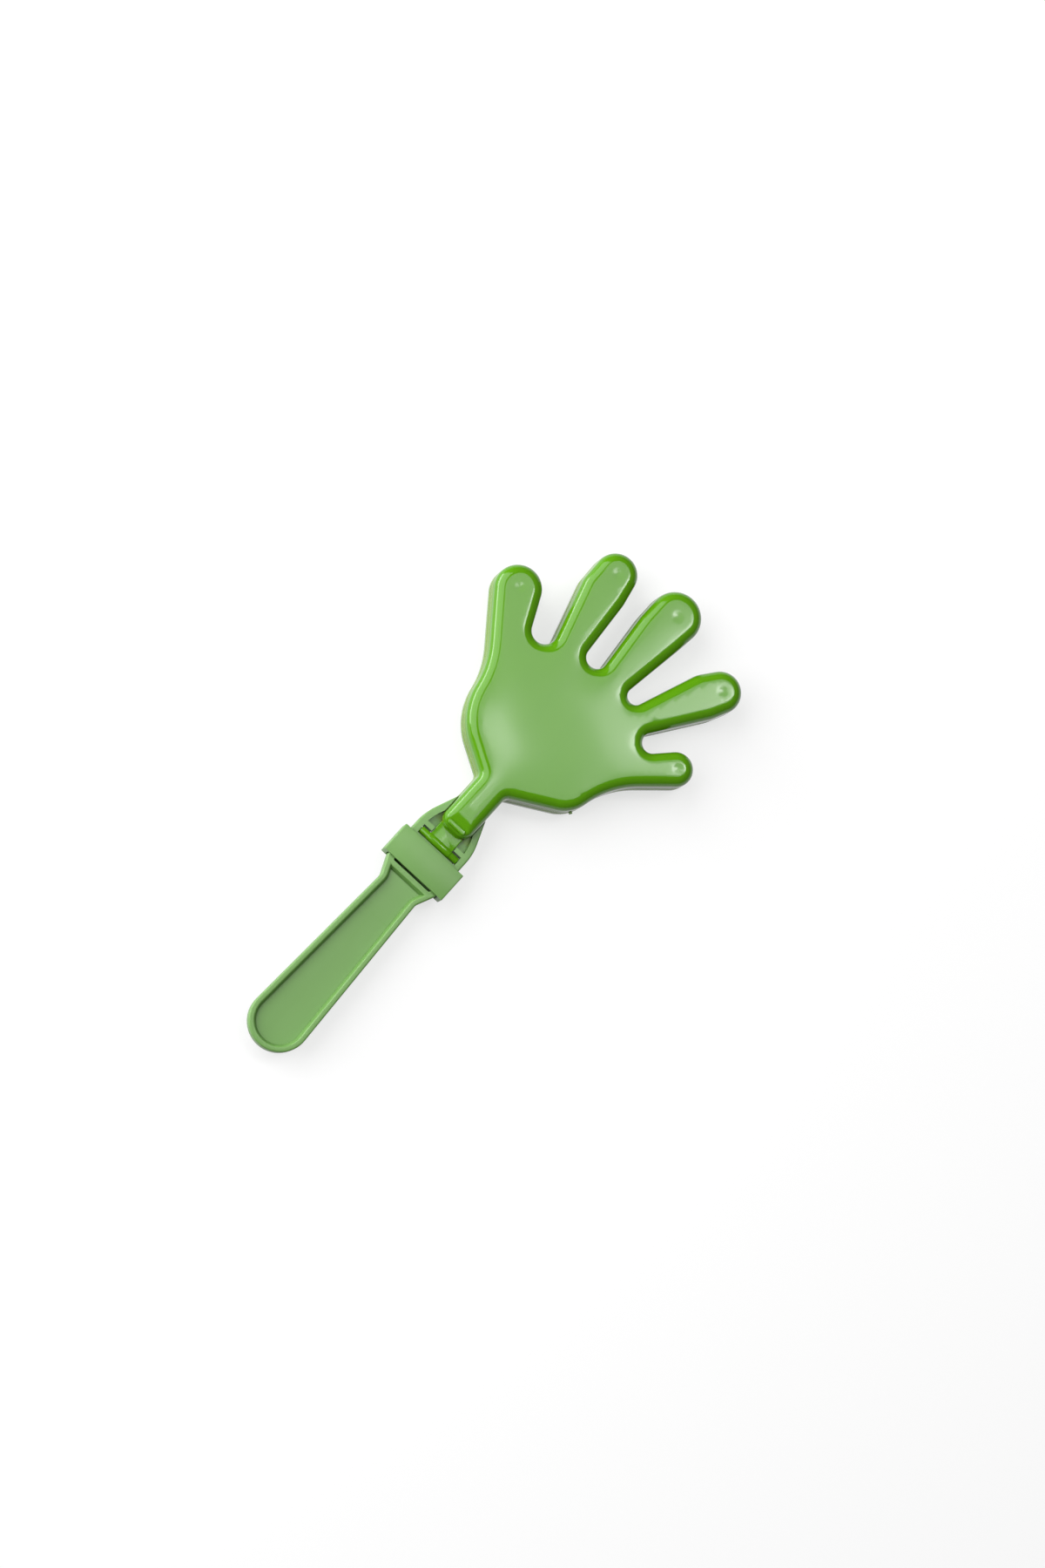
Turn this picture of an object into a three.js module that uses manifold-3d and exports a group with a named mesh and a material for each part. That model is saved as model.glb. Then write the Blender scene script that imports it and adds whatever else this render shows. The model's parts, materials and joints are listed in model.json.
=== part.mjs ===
// Hand clapper: three moulded hands on one grip. The middle hand is one piece with the grip, and a hollow
// hand swings on each side of it. Millimetres, +Z up, +Y from the grip to the fingers, +X towards the thumb.
// The origin is the middle of the palm, on the outer face of the rear hand, on which the clapper lies.
import * as THREE from "three";
import { mergeVertices } from "three/addons/utils/BufferGeometryUtils.js";
import Module from "manifold-3d";

// Clearances
const PLAY = 0.3;
const NECK_PLAY = 0.4;
const PIVOT_PLAY = 0.25;
const COLLAR_PLAY = 0.5;

// Hand outline, shared by the three hands: the round tips of the fingers, by their middles and radii
const THUMB = { x: 55.7, y: 13.2, radius: 8.1 };
const INDEX = { x: 47.6, y: 53.3, radius: 9.8 };
const MIDDLE = { x: 10.1, y: 64.3, radius: 12.1 };
const RING = { x: -22.7, y: 60, radius: 10.1 };
const LITTLE = { x: -50.9, y: 24.6, radius: 11.1 };

// Pads of the four fingers below their tips. Each finger swells from its tip to its pad and narrows to its two
// gaps. The little finger's pad shows on its inner side only.
const INDEX_PAD = { x: 43.6, y: 46.6, radius: 10.6 };
const MIDDLE_PAD = { x: 9.5, y: 54.6, radius: 11.5 };
const RING_PAD = { x: -21.6, y: 50.4, radius: 10.9 };
const LITTLE_PAD = { x: -50.1, y: 17.9, radius: 13.3 };

// Round bottoms of the gaps between neighbouring fingers
const THUMB_GAP = { x: 40, y: 14.6, radius: 4.4 };
const INDEX_GAP = { x: 20.5, y: 25.3, radius: 3.7 };
const RING_GAP = { x: -4, y: 26, radius: 4.7 };
const LITTLE_GAP = { x: -29.4, y: 18.6, radius: 5.7 };

// Round heel of the palm, and its hollow sides. A side fills the corner between the heel and the straight outer
// side of the thumb or the little finger, which faces the given number of degrees below the X axis.
const THUMB_HEEL = { x: 19.8, y: -23.4, radius: 16.7 };
const LITTLE_HEEL = { x: -5.3, y: -14.9, radius: 31.3 };
const THUMB_SIDE = { degrees: 47.1, radius: 43.1 };
const LITTLE_SIDE = { degrees: 37.5, radius: 42.5 };

// Neck between the palm and the hinge. Its two end corners keep a small radius on the hollow hands' flat faces.
const NECK_TOP_Y = -51.2;
const NECK_LENGTH = 25.6;
const NECK_WIDTH = 16;
const NECK_FILLET = 3;
const NECK_FACE_CORNER = 0.4;

// Hollow hands, whose walls lean in by the moulding draft, in degrees
const HAND_DEPTH = 9.8;
const HAND_WALL = 1.6;
const HAND_EDGE_RADIUS = 5;
const HAND_DRAFT = 1;

// Roll-down of the hollow hands' faces over the last part of the neck, towards the hinge
const ROLL_DOWN_LENGTH = 9;
const ROLL_DOWN_RADIUS = 12;

// Middle hand: a thin plate with a rim on both faces, and the stub of the mould's gate on its heel
const PLATE_THICKNESS = 3.4;
const PLATE_RIM = 2.4;
const PLATE_WEB = 1.2;
const GATE_LENGTH = 0.9;
const GATE_WIDTH = 1.4;
const GATE_THICKNESS = 1.2;
const GATE_DEGREES = -33;

// Hinge pin across the end of each hollow hand's tab
const TAB_LENGTH = 7.6;
const TAB_WIDTH = 12.6;
const TAB_THICKNESS = 2.1;
const ROLL_RADIUS = 2;
const STUB_RADIUS = 1.7;
const NIB_RADIUS = 0.8;
const NIB_LENGTH = 0.8;

// Stop bar on the roll-down, at its place in from the neck's end
const STOP_PLACE = 2.7;
const STOP_LENGTH = 9.6;
const STOP_WIDTH = 2.2;
const STOP_HEIGHT = 1.2;
const STOP_EDGE = 0.4;

// Handle: frame round the hinge, from the neck down to the shoulder
const HANDLE_THICKNESS = 7.4;
const HANDLE_WEB = 1.6;
const HANDLE_EDGE_RADIUS = 0.8;
const FRAME_WIDTH = 28.5;
const FRAME_WALL = 3.2;
const FRAME_ARC_RADIUS = 25;
const FRAME_TAPER = 22;
const FRAME_FILLET = 8;
const FRAME_CORNER = 4;
const LEDGE_WIDTH = 2.2;
const PIN_BAR_WIDTH = 3.6;
const WINDOW_LENGTH = 13;
const RAIL_WIDTH = 2.4;

// Handle: grip
const GRIP_LENGTH = 97.9;
const GRIP_END_RADIUS = 14;
const GRIP_ROOT_WIDTH = 20.6;
const GRIP_RIM = 2.7;
const GRIP_FLOOR_FILLET = 0.8;
const SHOULDER_LENGTH = 6.8;
const SHOULDER_FILLET = 5;

// Collar: a rectangular sleeve round the frame
const COLLAR_LENGTH = 14.6;
const COLLAR_SIDE_WALL = 2.4;
const COLLAR_FACE_WALL = 1.5;
const COLLAR_CORNER = 0.6;
const COLLAR_PIN_GAP = 1.3;

// Fineness of the facets, and the distance within which two corners are one
const CHORD_ERROR = 0.12;
const HAND_EDGE_STEPS = 4;
const HANDLE_EDGE_STEPS = 2;
const ROLL_DOWN_STEPS = 12;
const PIN_SIDES = 20;
const SAME_CORNER = 1e-4;

// A length that goes past the hands on every side of the origin
const PAST_HAND = 150;

// The largest angle that an outline turns through at one circle
const LARGEST_TURN = 1.75 * Math.PI;

// Heights above the clapper's middle plane
const RIM_Z = PLATE_THICKNESS / 2 + PLAY;
const FACE_Z = RIM_Z + HAND_DEPTH;
const PIN_Z = ROLL_RADIUS + PLAY / 2;
const TAB_Z = HANDLE_WEB / 2 + PLAY;

// Places along the clapper, from the neck down to the grip's end
const NECK_END_Y = NECK_TOP_Y - NECK_LENGTH;
const ROLL_START_Y = NECK_END_Y + ROLL_DOWN_LENGTH;
const PIN_Y = NECK_END_Y - TAB_LENGTH;
const POCKET_TOP_Y = PIN_Y + ROLL_RADIUS + PLAY;
const POCKET_END_Y = PIN_Y - ROLL_RADIUS - PLAY;
const LEDGE_TOP_Y = POCKET_TOP_Y + LEDGE_WIDTH;
const WINDOW_TOP_Y = POCKET_END_Y - PIN_BAR_WIDTH;
const RAIL_TOP_Y = WINDOW_TOP_Y - WINDOW_LENGTH;
const RAIL_END_Y = RAIL_TOP_Y - RAIL_WIDTH;
const GRIP_END_Y = RAIL_END_Y - GRIP_LENGTH;
const COLLAR_TOP_Y = PIN_Y - ROLL_RADIUS - COLLAR_PIN_GAP;

// The frame's pocket is as wide as the frame leaves it between its walls.
const POCKET_WIDTH = FRAME_WIDTH - 2 * FRAME_WALL;

// How far the draft leans a hollow hand's wall in at the foot of its rounded edge, and the neck's end corners
const DRAFT_LEAN = (HAND_DEPTH - HAND_EDGE_RADIUS) * Math.tan(THREE.MathUtils.degToRad(HAND_DRAFT));
const NECK_CORNER = HAND_EDGE_RADIUS + DRAFT_LEAN + NECK_FACE_CORNER;

const wasm = await Module();
wasm.setup();

// Turns a closed geometry into a solid that can be joined and cut.
function solidOf(geometry) {
  const bare = geometry.clone();
  bare.deleteAttribute("normal");
  bare.deleteAttribute("uv");
  const merged = mergeVertices(bare, SAME_CORNER);
  const corners = merged.index.array;
  const faces = [];
  for (let i = 0; i < corners.length; i += 3) {
    const [a, b, c] = corners.slice(i, i + 3);
    if (a !== b && b !== c && c !== a) faces.push(a, b, c);
  }
  return new wasm.Manifold(
    new wasm.Mesh({
      numProp: 3,
      vertProperties: new Float32Array(merged.attributes.position.array),
      triVerts: new Uint32Array(faces),
    }),
  );
}

// Turns a solid back into a geometry with flat faces.
function geometryOf(solid) {
  const mesh = solid.getMesh();
  const geometry = new THREE.BufferGeometry();
  geometry.setAttribute("position", new THREE.BufferAttribute(mesh.vertProperties, 3));
  geometry.setIndex(new THREE.BufferAttribute(mesh.triVerts, 1));
  const flat = geometry.toNonIndexed();
  flat.computeVertexNormals();
  return flat;
}

// A circle that an outline bulges round, and one that it hollows round.
const bulge = (x, y, radius) => ({ x, y, radius });
const hollow = (x, y, radius) => ({ x, y, radius: -radius });

// The outward normal of the straight run from circle a to the next circle b, anticlockwise.
function runNormal(a, b) {
  const along = new THREE.Vector2(b.x - a.x, b.y - a.y);
  const lift = (a.radius - b.radius) / along.length();
  const across = Math.sqrt(Math.max(0, 1 - lift * lift));
  along.normalize();
  return new THREE.Vector2(lift * along.x + across * along.y, lift * along.y - across * along.x);
}

// The angle turned through at a circle. A circle that the belt only grazes may turn a little the other way.
function turnAt(circle, from, to) {
  const way = Math.sign(circle.radius);
  const turn = THREE.MathUtils.euclideanModulo(way * (to - from), 2 * Math.PI);
  return way * (turn > LARGEST_TURN ? turn - 2 * Math.PI : turn);
}

// A closed outline that runs like a belt round circles, anticlockwise, with straight tangents between them.
// Each point keeps its outward normal, so the same outline can be set in or out by any amount.
function belt(circles) {
  return circles.flatMap((circle, i) => {
    const from = runNormal(circles.at(i - 1), circle).angle();
    const to = runNormal(circle, circles[(i + 1) % circles.length]).angle();
    const turn = turnAt(circle, from, to);
    const stepAngle = 2 * Math.acos(1 - Math.min(1, CHORD_ERROR / Math.abs(circle.radius)));
    const steps = Math.max(1, Math.round(Math.abs(turn) / stepAngle));
    return Array.from({ length: steps + 1 }, (_, k) => {
      const angle = from + (turn * k) / steps;
      const normal = new THREE.Vector2(Math.cos(angle), Math.sin(angle));
      return { x: circle.x + circle.radius * normal.x, y: circle.y + circle.radius * normal.y, normal };
    });
  });
}

// The outline's points, moved inwards by inset.
function insetPoints(outline, inset) {
  return outline.map(({ x, y, normal }) => new THREE.Vector2(x - inset * normal.x, y - inset * normal.y));
}

// A solid between two heights over a closed row of points.
function prism(points, bottom, top) {
  const settings = { depth: top - bottom, bevelEnabled: false };
  const geometry = new THREE.ExtrudeGeometry(new THREE.Shape(points), settings);
  return solidOf(geometry.translate(0, 0, bottom));
}

// A block that is centred on the YZ plane.
function block(width, near, far, bottom, top) {
  const geometry = new THREE.BoxGeometry(width, far - near, top - bottom);
  return solidOf(geometry.translate(0, (near + far) / 2, (bottom + top) / 2));
}

// A closed skin over rings of one outline, each at its own inset and height, with a flat cap at both ends.
function skin(outline, rings) {
  const count = outline.length;
  const loops = rings.map((ring) => insetPoints(outline, ring.inset));
  const positions = loops.flatMap((loop, r) => loop.flatMap((point) => [point.x, point.y, rings[r].height]));
  const last = (rings.length - 1) * count;
  const faces = [];
  const firstCap = THREE.ShapeUtils.triangulateShape(loops[0], []);
  const lastCap = THREE.ShapeUtils.triangulateShape(loops.at(-1), []);
  firstCap.forEach(([a, b, c]) => faces.push(a, c, b));
  for (let start = 0; start < last; start += count) {
    for (let i = 0; i < count; i += 1) {
      const a = start + i;
      const b = start + ((i + 1) % count);
      faces.push(a, b, b + count, a, b + count, a + count);
    }
  }
  lastCap.forEach(([a, b, c]) => faces.push(last + a, last + b, last + c));
  const geometry = new THREE.BufferGeometry();
  geometry.setAttribute("position", new THREE.Float32BufferAttribute(positions, 3));
  geometry.setIndex(faces);
  return geometry;
}

// Rings over a quarter-round edge, from the foot of the rounding up to the flat face at the top.
function roundedEdge(radius, wall, top, steps) {
  return Array.from({ length: steps + 1 }, (_, k) => {
    const angle = ((k / steps) * Math.PI) / 2;
    return { inset: wall + radius * (1 - Math.cos(angle)), height: top - radius * (1 - Math.sin(angle)) };
  });
}

// The same rings upside down, for the underside of a piece.
function turnedDown(rings) {
  return rings.map(({ inset, height }) => ({ inset, height: -height })).reverse();
}

// The circle that a side of the palm hollows round, on the thumb's side where way is 1. It touches the heel and
// the straight outer side of the finger with the given tip.
function sideHollow({ degrees, radius }, tip, heel, way) {
  const down = THREE.MathUtils.degToRad(degrees);
  const facing = new THREE.Vector2(way * Math.cos(down), -Math.sin(down));
  const along = new THREE.Vector2(way * Math.sin(down), Math.cos(down));
  const reach = (tip.x - heel.x) * facing.x + (tip.y - heel.y) * facing.y + tip.radius + radius;
  const rise = Math.sqrt((heel.radius + radius) ** 2 - reach ** 2);
  const x = heel.x + reach * facing.x + rise * along.x;
  const y = heel.y + reach * facing.y + rise * along.y;
  return hollow(x, y, radius);
}

// The circle alone in a row where it stands out of the straight run from a to b, and otherwise an empty row.
function ifStandingOut(circle, a, b) {
  const normal = runNormal(a, b);
  const reach = ({ x, y, radius }) => normal.x * x + normal.y * y + radius;
  return reach(circle) > reach(a) ? [circle] : [];
}

// The hand with its neck, anticlockwise from the neck's end on the thumb side.
function handOutline() {
  const [thumbGap, indexGap, ringGap, littleGap] = [THUMB_GAP, INDEX_GAP, RING_GAP, LITTLE_GAP].map(
    ({ x, y, radius }) => hollow(x, y, radius),
  );
  const cornerX = NECK_WIDTH / 2 - NECK_CORNER;
  const cornerY = NECK_END_Y + NECK_CORNER;
  const filletX = NECK_WIDTH / 2 + NECK_FILLET;
  return belt([
    bulge(cornerX, cornerY, NECK_CORNER),
    hollow(filletX, NECK_TOP_Y, NECK_FILLET),
    THUMB_HEEL,
    sideHollow(THUMB_SIDE, THUMB, THUMB_HEEL, 1),
    THUMB,
    thumbGap,
    ...ifStandingOut(INDEX_PAD, thumbGap, INDEX),
    INDEX,
    ...ifStandingOut(INDEX_PAD, INDEX, indexGap),
    indexGap,
    ...ifStandingOut(MIDDLE_PAD, indexGap, MIDDLE),
    MIDDLE,
    ...ifStandingOut(MIDDLE_PAD, MIDDLE, ringGap),
    ringGap,
    ...ifStandingOut(RING_PAD, ringGap, RING),
    RING,
    ...ifStandingOut(RING_PAD, RING, littleGap),
    littleGap,
    ...ifStandingOut(LITTLE_PAD, littleGap, LITTLE),
    LITTLE,
    sideHollow(LITTLE_SIDE, LITTLE, LITTLE_HEEL, -1),
    LITTLE_HEEL,
    hollow(-filletX, NECK_TOP_Y, NECK_FILLET),
    bulge(-cornerX, cornerY, NECK_CORNER),
  ]);
}

// Grip, shoulder, frame and the root of the neck, anticlockwise from the grip's end.
function handleOutline() {
  const gripEnd = bulge(0, GRIP_END_Y + GRIP_END_RADIUS, GRIP_END_RADIUS);
  const side = [
    hollow(GRIP_ROOT_WIDTH / 2 + SHOULDER_FILLET, RAIL_END_Y - SHOULDER_LENGTH, SHOULDER_FILLET),
    bulge(FRAME_WIDTH / 2 - FRAME_CORNER, RAIL_END_Y + FRAME_CORNER, FRAME_CORNER),
    bulge(FRAME_WIDTH / 2 - FRAME_ARC_RADIUS, POCKET_TOP_Y, FRAME_ARC_RADIUS),
    hollow(NECK_WIDTH / 2 + FRAME_FILLET, POCKET_TOP_Y + FRAME_TAPER, FRAME_FILLET),
    bulge(NECK_WIDTH / 2 - FRAME_CORNER, NECK_TOP_Y - FRAME_CORNER, FRAME_CORNER),
  ];
  const otherSide = side.map((circle) => ({ ...circle, x: -circle.x })).reverse();
  return belt([gripEnd, ...side, ...otherSide]);
}

const HAND = handOutline();
const HANDLE = handleOutline();

// All that lies under a hollow hand's face, which rolls down towards the neck's end, set in by inset.
function underFace(inset) {
  const axisZ = FACE_Z - ROLL_DOWN_RADIUS;
  const radius = ROLL_DOWN_RADIUS - inset;
  const profile = new THREE.Shape();
  profile.moveTo(ROLL_START_Y - radius, -FACE_Z);
  profile.lineTo(PAST_HAND, -FACE_Z);
  profile.lineTo(PAST_HAND, axisZ + radius);
  profile.lineTo(ROLL_START_Y, axisZ + radius);
  profile.absarc(ROLL_START_Y, axisZ, radius, Math.PI / 2, Math.PI, false);
  const settings = { depth: 2 * PAST_HAND, bevelEnabled: false, curveSegments: ROLL_DOWN_STEPS };
  const geometry = new THREE.ExtrudeGeometry(profile, settings).translate(0, 0, -PAST_HAND);
  return solidOf(geometry.rotateX(Math.PI / 2).rotateZ(Math.PI / 2));
}

// Hand shell: the outer form with its rounded edge, less the hollow, whose ceiling follows the face.
function handShell() {
  const innerRadius = Math.max(HAND_EDGE_RADIUS - HAND_WALL, PLAY);
  const outside = skin(HAND, [
    { inset: 0, height: RIM_Z },
    ...roundedEdge(HAND_EDGE_RADIUS, DRAFT_LEAN, FACE_Z, HAND_EDGE_STEPS),
  ]);
  const inside = skin(HAND, [
    { inset: HAND_WALL, height: RIM_Z - PLAY },
    { inset: HAND_WALL, height: RIM_Z },
    ...roundedEdge(innerRadius, HAND_WALL + DRAFT_LEAN, FACE_Z - HAND_WALL, HAND_EDGE_STEPS),
  ]);
  return solidOf(outside).intersect(underFace(0)).subtract(solidOf(inside).intersect(underFace(HAND_WALL)));
}

// Hinge pin along X: a thick roll, a thinner stub at each side and a nib that seats in the frame's wall.
function hingePin() {
  const rollEnd = TAB_WIDTH / 2;
  const stubEnd = POCKET_WIDTH / 2 - PLAY;
  const nibEnd = POCKET_WIDTH / 2 + NIB_LENGTH;
  const shoulder = (STUB_RADIUS - NIB_RADIUS) / 2;
  const half = [
    [0, nibEnd],
    [NIB_RADIUS / 2, nibEnd],
    [NIB_RADIUS, nibEnd - NIB_RADIUS / 2],
    [NIB_RADIUS, stubEnd],
    [NIB_RADIUS + shoulder, stubEnd],
    [STUB_RADIUS, stubEnd - shoulder],
    [STUB_RADIUS, rollEnd],
    [ROLL_RADIUS, rollEnd],
  ];
  const profile = [
    ...half.map(([radius, x]) => new THREE.Vector2(radius, -x)),
    ...half.toReversed().map(([radius, x]) => new THREE.Vector2(radius, x)),
  ];
  return new THREE.LatheGeometry(profile, PIN_SIDES).rotateZ(-Math.PI / 2).translate(0, PIN_Y, PIN_Z);
}

// Stop bar with round ends, square on the face where it rolls down, so that the face stays the highest. The bar
// lands on the collar when the hand is thrown right back, before the tab does.
function stopBar() {
  const end = STOP_WIDTH / 2;
  const reach = STOP_LENGTH / 2 - end;
  const crest = ROLL_DOWN_RADIUS + STOP_HEIGHT;
  const bar = skin(belt([bulge(reach, 0, end), bulge(-reach, 0, end)]), [
    { inset: 0, height: ROLL_DOWN_RADIUS - HAND_WALL / 2 },
    { inset: 0, height: crest - STOP_EDGE },
    { inset: STOP_EDGE, height: crest },
  ]);
  bar.rotateX(Math.asin((ROLL_DOWN_LENGTH - STOP_PLACE) / ROLL_DOWN_RADIUS));
  return bar.translate(0, ROLL_START_Y, FACE_Z - ROLL_DOWN_RADIUS);
}

// One hollow hand, on the upper side of the middle plane.
function hollowHand() {
  const tab = block(TAB_WIDTH, PIN_Y, NECK_END_Y + HAND_WALL, TAB_Z, TAB_Z + TAB_THICKNESS);
  return geometryOf(handShell().add(tab).add(solidOf(hingePin())).add(solidOf(stopBar())));
}

// The same cut from the upper and the lower face, down to floor above and below the middle plane.
function cutBothFaces(solid, points, floor) {
  return solid.subtract(prism(points, floor, FACE_Z)).subtract(prism(points, -FACE_Z, -floor));
}

// The part of the frame's inside that lies between two places along it, from floor up or right through.
function frameInside(near, far, bottom, top) {
  const inside = prism(insetPoints(HANDLE, FRAME_WALL), bottom, top);
  return inside.intersect(block(2 * FRAME_WIDTH, near, far, bottom, top));
}

// Stub of the gate, standing out of the rim of the middle hand's heel.
function gateStub() {
  const root = PLATE_RIM / 2;
  const stub = new THREE.BoxGeometry(root + GATE_LENGTH, GATE_WIDTH, GATE_THICKNESS);
  stub.translate(THUMB_HEEL.radius + (GATE_LENGTH - root) / 2, 0, 0);
  stub.rotateZ(THREE.MathUtils.degToRad(GATE_DEGREES));
  return solidOf(stub.translate(THUMB_HEEL.x, THUMB_HEEL.y, 0));
}

// Middle hand with its neck.
function middleHand() {
  const plate = prism(insetPoints(HAND, 0), -PLATE_THICKNESS / 2, PLATE_THICKNESS / 2);
  return cutBothFaces(plate, insetPoints(HAND, PLATE_RIM), PLATE_WEB / 2).add(gateStub());
}

// Blind sockets for both pins' nibs, as one rod through the frame at each pin.
function nibSockets() {
  const radius = NIB_RADIUS + PIVOT_PLAY;
  const length = POCKET_WIDTH + 2 * (NIB_LENGTH + PLAY);
  const rod = new THREE.CylinderGeometry(radius, radius, length, PIN_SIDES).rotateZ(Math.PI / 2);
  const upper = solidOf(rod.clone().translate(0, PIN_Y, PIN_Z));
  return upper.add(solidOf(rod.translate(0, PIN_Y, -PIN_Z)));
}

// Grip, frame and neck root in full thickness, with their edges rounded on both faces.
function handleBody() {
  const edge = roundedEdge(HANDLE_EDGE_RADIUS, 0, HANDLE_THICKNESS / 2, HANDLE_EDGE_STEPS);
  return solidOf(skin(HANDLE, [...turnedDown(edge), ...edge]));
}

// Hollow of the grip inside its rim, above the web: a fillet round the floor and a rounded lip.
function gripHollow() {
  const fillet = roundedEdge(GRIP_FLOOR_FILLET, GRIP_RIM, -HANDLE_WEB / 2, HANDLE_EDGE_STEPS);
  const lip = roundedEdge(HANDLE_EDGE_RADIUS, 0, HANDLE_THICKNESS / 2, HANDLE_EDGE_STEPS);
  const rings = [
    ...turnedDown(fillet),
    ...lip.map(({ inset, height }) => ({ inset: GRIP_RIM - inset, height })),
    { inset: GRIP_RIM - HANDLE_EDGE_RADIUS, height: FACE_Z },
  ];
  return skin(HANDLE, rings);
}

// Handle: grip with a rim and a web, hinge frame, neck and middle hand.
function handle() {
  const web = HANDLE_WEB / 2;
  const bodyUnderNecks = cutBothFaces(handleBody(), insetPoints(HAND, -NECK_PLAY), PLATE_THICKNESS / 2);
  const belowRail = block(2 * FRAME_WIDTH, GRIP_END_Y, RAIL_END_Y, -FACE_Z, FACE_Z);
  const tabSlot = block(TAB_WIDTH + 2 * PLAY, POCKET_END_Y, LEDGE_TOP_Y, -FACE_Z, FACE_Z);
  const hollowAbove = gripHollow();
  const hollowBelow = hollowAbove.clone().rotateY(Math.PI);
  return geometryOf(
    bodyUnderNecks
      .add(middleHand())
      .subtract(solidOf(hollowAbove).intersect(belowRail))
      .subtract(solidOf(hollowBelow).intersect(belowRail))
      .subtract(frameInside(LEDGE_TOP_Y, NECK_TOP_Y, web, FACE_Z))
      .subtract(frameInside(LEDGE_TOP_Y, NECK_TOP_Y, -FACE_Z, -web))
      .subtract(tabSlot)
      .subtract(frameInside(POCKET_END_Y, POCKET_TOP_Y, -FACE_Z, FACE_Z))
      .subtract(frameInside(RAIL_TOP_Y, WINDOW_TOP_Y, -FACE_Z, FACE_Z))
      .subtract(nibSockets()),
  );
}

// Collar: a sleeve of even length, sharp-edged but for its four long corners.
function collar() {
  const boreX = FRAME_WIDTH / 2 + COLLAR_PLAY;
  const boreZ = HANDLE_THICKNESS / 2 + PLAY;
  const x = boreX + COLLAR_SIDE_WALL - COLLAR_CORNER;
  const z = boreZ + COLLAR_FACE_WALL - COLLAR_CORNER;
  const corners = [bulge(x, -z, COLLAR_CORNER), bulge(x, z, COLLAR_CORNER), bulge(-x, z, COLLAR_CORNER),
    bulge(-x, -z, COLLAR_CORNER)];
  const section = new THREE.Shape(insetPoints(belt(corners), 0));
  const bore = [[boreX, -boreZ], [boreX, boreZ], [-boreX, boreZ], [-boreX, -boreZ]];
  section.holes.push(new THREE.Path(bore.map(([cornerX, cornerZ]) => new THREE.Vector2(cornerX, cornerZ))));
  const sleeve = new THREE.ExtrudeGeometry(section, { depth: COLLAR_LENGTH, bevelEnabled: false });
  return sleeve.rotateX(Math.PI / 2).translate(0, COLLAR_TOP_Y, 0);
}

// The two greens of the plastic: the hands are polished, the handle and the collar satin.
const GLOSSY_GREEN = { color: 0x76b356, roughness: 0.22, metalness: 0 };
const SATIN_GREEN = { color: 0x80ad68, roughness: 0.42, metalness: 0 };

// A named piece of plastic.
function piece(name, geometry, plastic) {
  const mesh = new THREE.Mesh(geometry, new THREE.MeshStandardMaterial(plastic));
  mesh.name = name;
  return mesh;
}

const clapper = new THREE.Group();
clapper.name = "hand_clapper";
clapper.add(piece("handle", handle(), SATIN_GREEN));
clapper.add(piece("front_hand", hollowHand(), GLOSSY_GREEN));
clapper.add(piece("collar", collar(), SATIN_GREEN));

// The rear hand is the front hand's mirror image in the middle plane.
const rearHand = piece("rear_hand", hollowHand(), GLOSSY_GREEN);
rearHand.scale.z = -1;
clapper.add(rearHand);

// The clapper lies on the rear hand's face.
clapper.position.z = FACE_Z;

export default clapper;
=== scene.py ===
"""Looks of the hand clapper: three plastic hands on one grip, shaped in millimetres and set in metres."""

import json
import logging
import math
from collections.abc import Callable, Iterator, Mapping, Sequence
from contextlib import contextmanager
from dataclasses import dataclass, field
from enum import Enum
from itertools import pairwise

import bmesh
import bpy
from mathutils import Matrix, Vector

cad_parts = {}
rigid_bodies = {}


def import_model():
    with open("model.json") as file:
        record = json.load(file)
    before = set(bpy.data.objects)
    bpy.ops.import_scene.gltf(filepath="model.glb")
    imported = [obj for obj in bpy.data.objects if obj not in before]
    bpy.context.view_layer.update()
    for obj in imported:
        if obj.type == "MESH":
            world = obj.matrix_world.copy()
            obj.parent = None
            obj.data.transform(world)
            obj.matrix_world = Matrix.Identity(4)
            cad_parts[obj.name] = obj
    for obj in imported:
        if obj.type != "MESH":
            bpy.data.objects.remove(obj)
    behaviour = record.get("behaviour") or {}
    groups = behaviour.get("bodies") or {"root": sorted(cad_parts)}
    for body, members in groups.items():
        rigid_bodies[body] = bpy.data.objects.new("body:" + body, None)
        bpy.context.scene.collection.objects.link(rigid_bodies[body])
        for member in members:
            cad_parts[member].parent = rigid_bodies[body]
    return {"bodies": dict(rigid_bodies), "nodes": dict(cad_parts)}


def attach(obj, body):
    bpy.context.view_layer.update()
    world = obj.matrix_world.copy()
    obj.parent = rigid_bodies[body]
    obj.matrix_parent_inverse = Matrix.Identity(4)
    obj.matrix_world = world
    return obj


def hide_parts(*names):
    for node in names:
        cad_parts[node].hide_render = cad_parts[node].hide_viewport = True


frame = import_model()

LOG = logging.getLogger("hand_clapper")
MILLIMETRE = 0.001

# Places closer than this, in millimetres, count as the same.
HAIR = 0.001
# A face is level, or nearly level, when the height of its normal is above these.
LEVEL = 0.999
NEARLY_LEVEL = 0.9
# Edges sharper than these many degrees are rounded, or broken, where a piece asks for it.
SHARP_DEGREES = 60.0
BREAK_DEGREES = 50.0
# Edges flatter than this many degrees are shaded smooth.
SMOOTH_DEGREES = 32.0
# How many faces a small rounding or a broken edge has.
SMALL_SEGMENTS = 2

Ring = tuple[float, float]
Span = tuple[float, float]
Point = tuple[float, float, float]
Tree = bpy.types.NodeTree
Socket = bpy.types.NodeSocket
Sockets = Mapping[str, bpy.types.NodeSocket]


class Kind(Enum):
    """What a pick selects. The value is Blender's select mode."""

    CORNERS = "VERT"
    EDGES = "EDGE"
    FACES = "FACE"


class Join(Enum):
    """How one blank changes another. The value is the Boolean modifier's operation."""

    ADD = "UNION"
    CUT = "DIFFERENCE"


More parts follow.
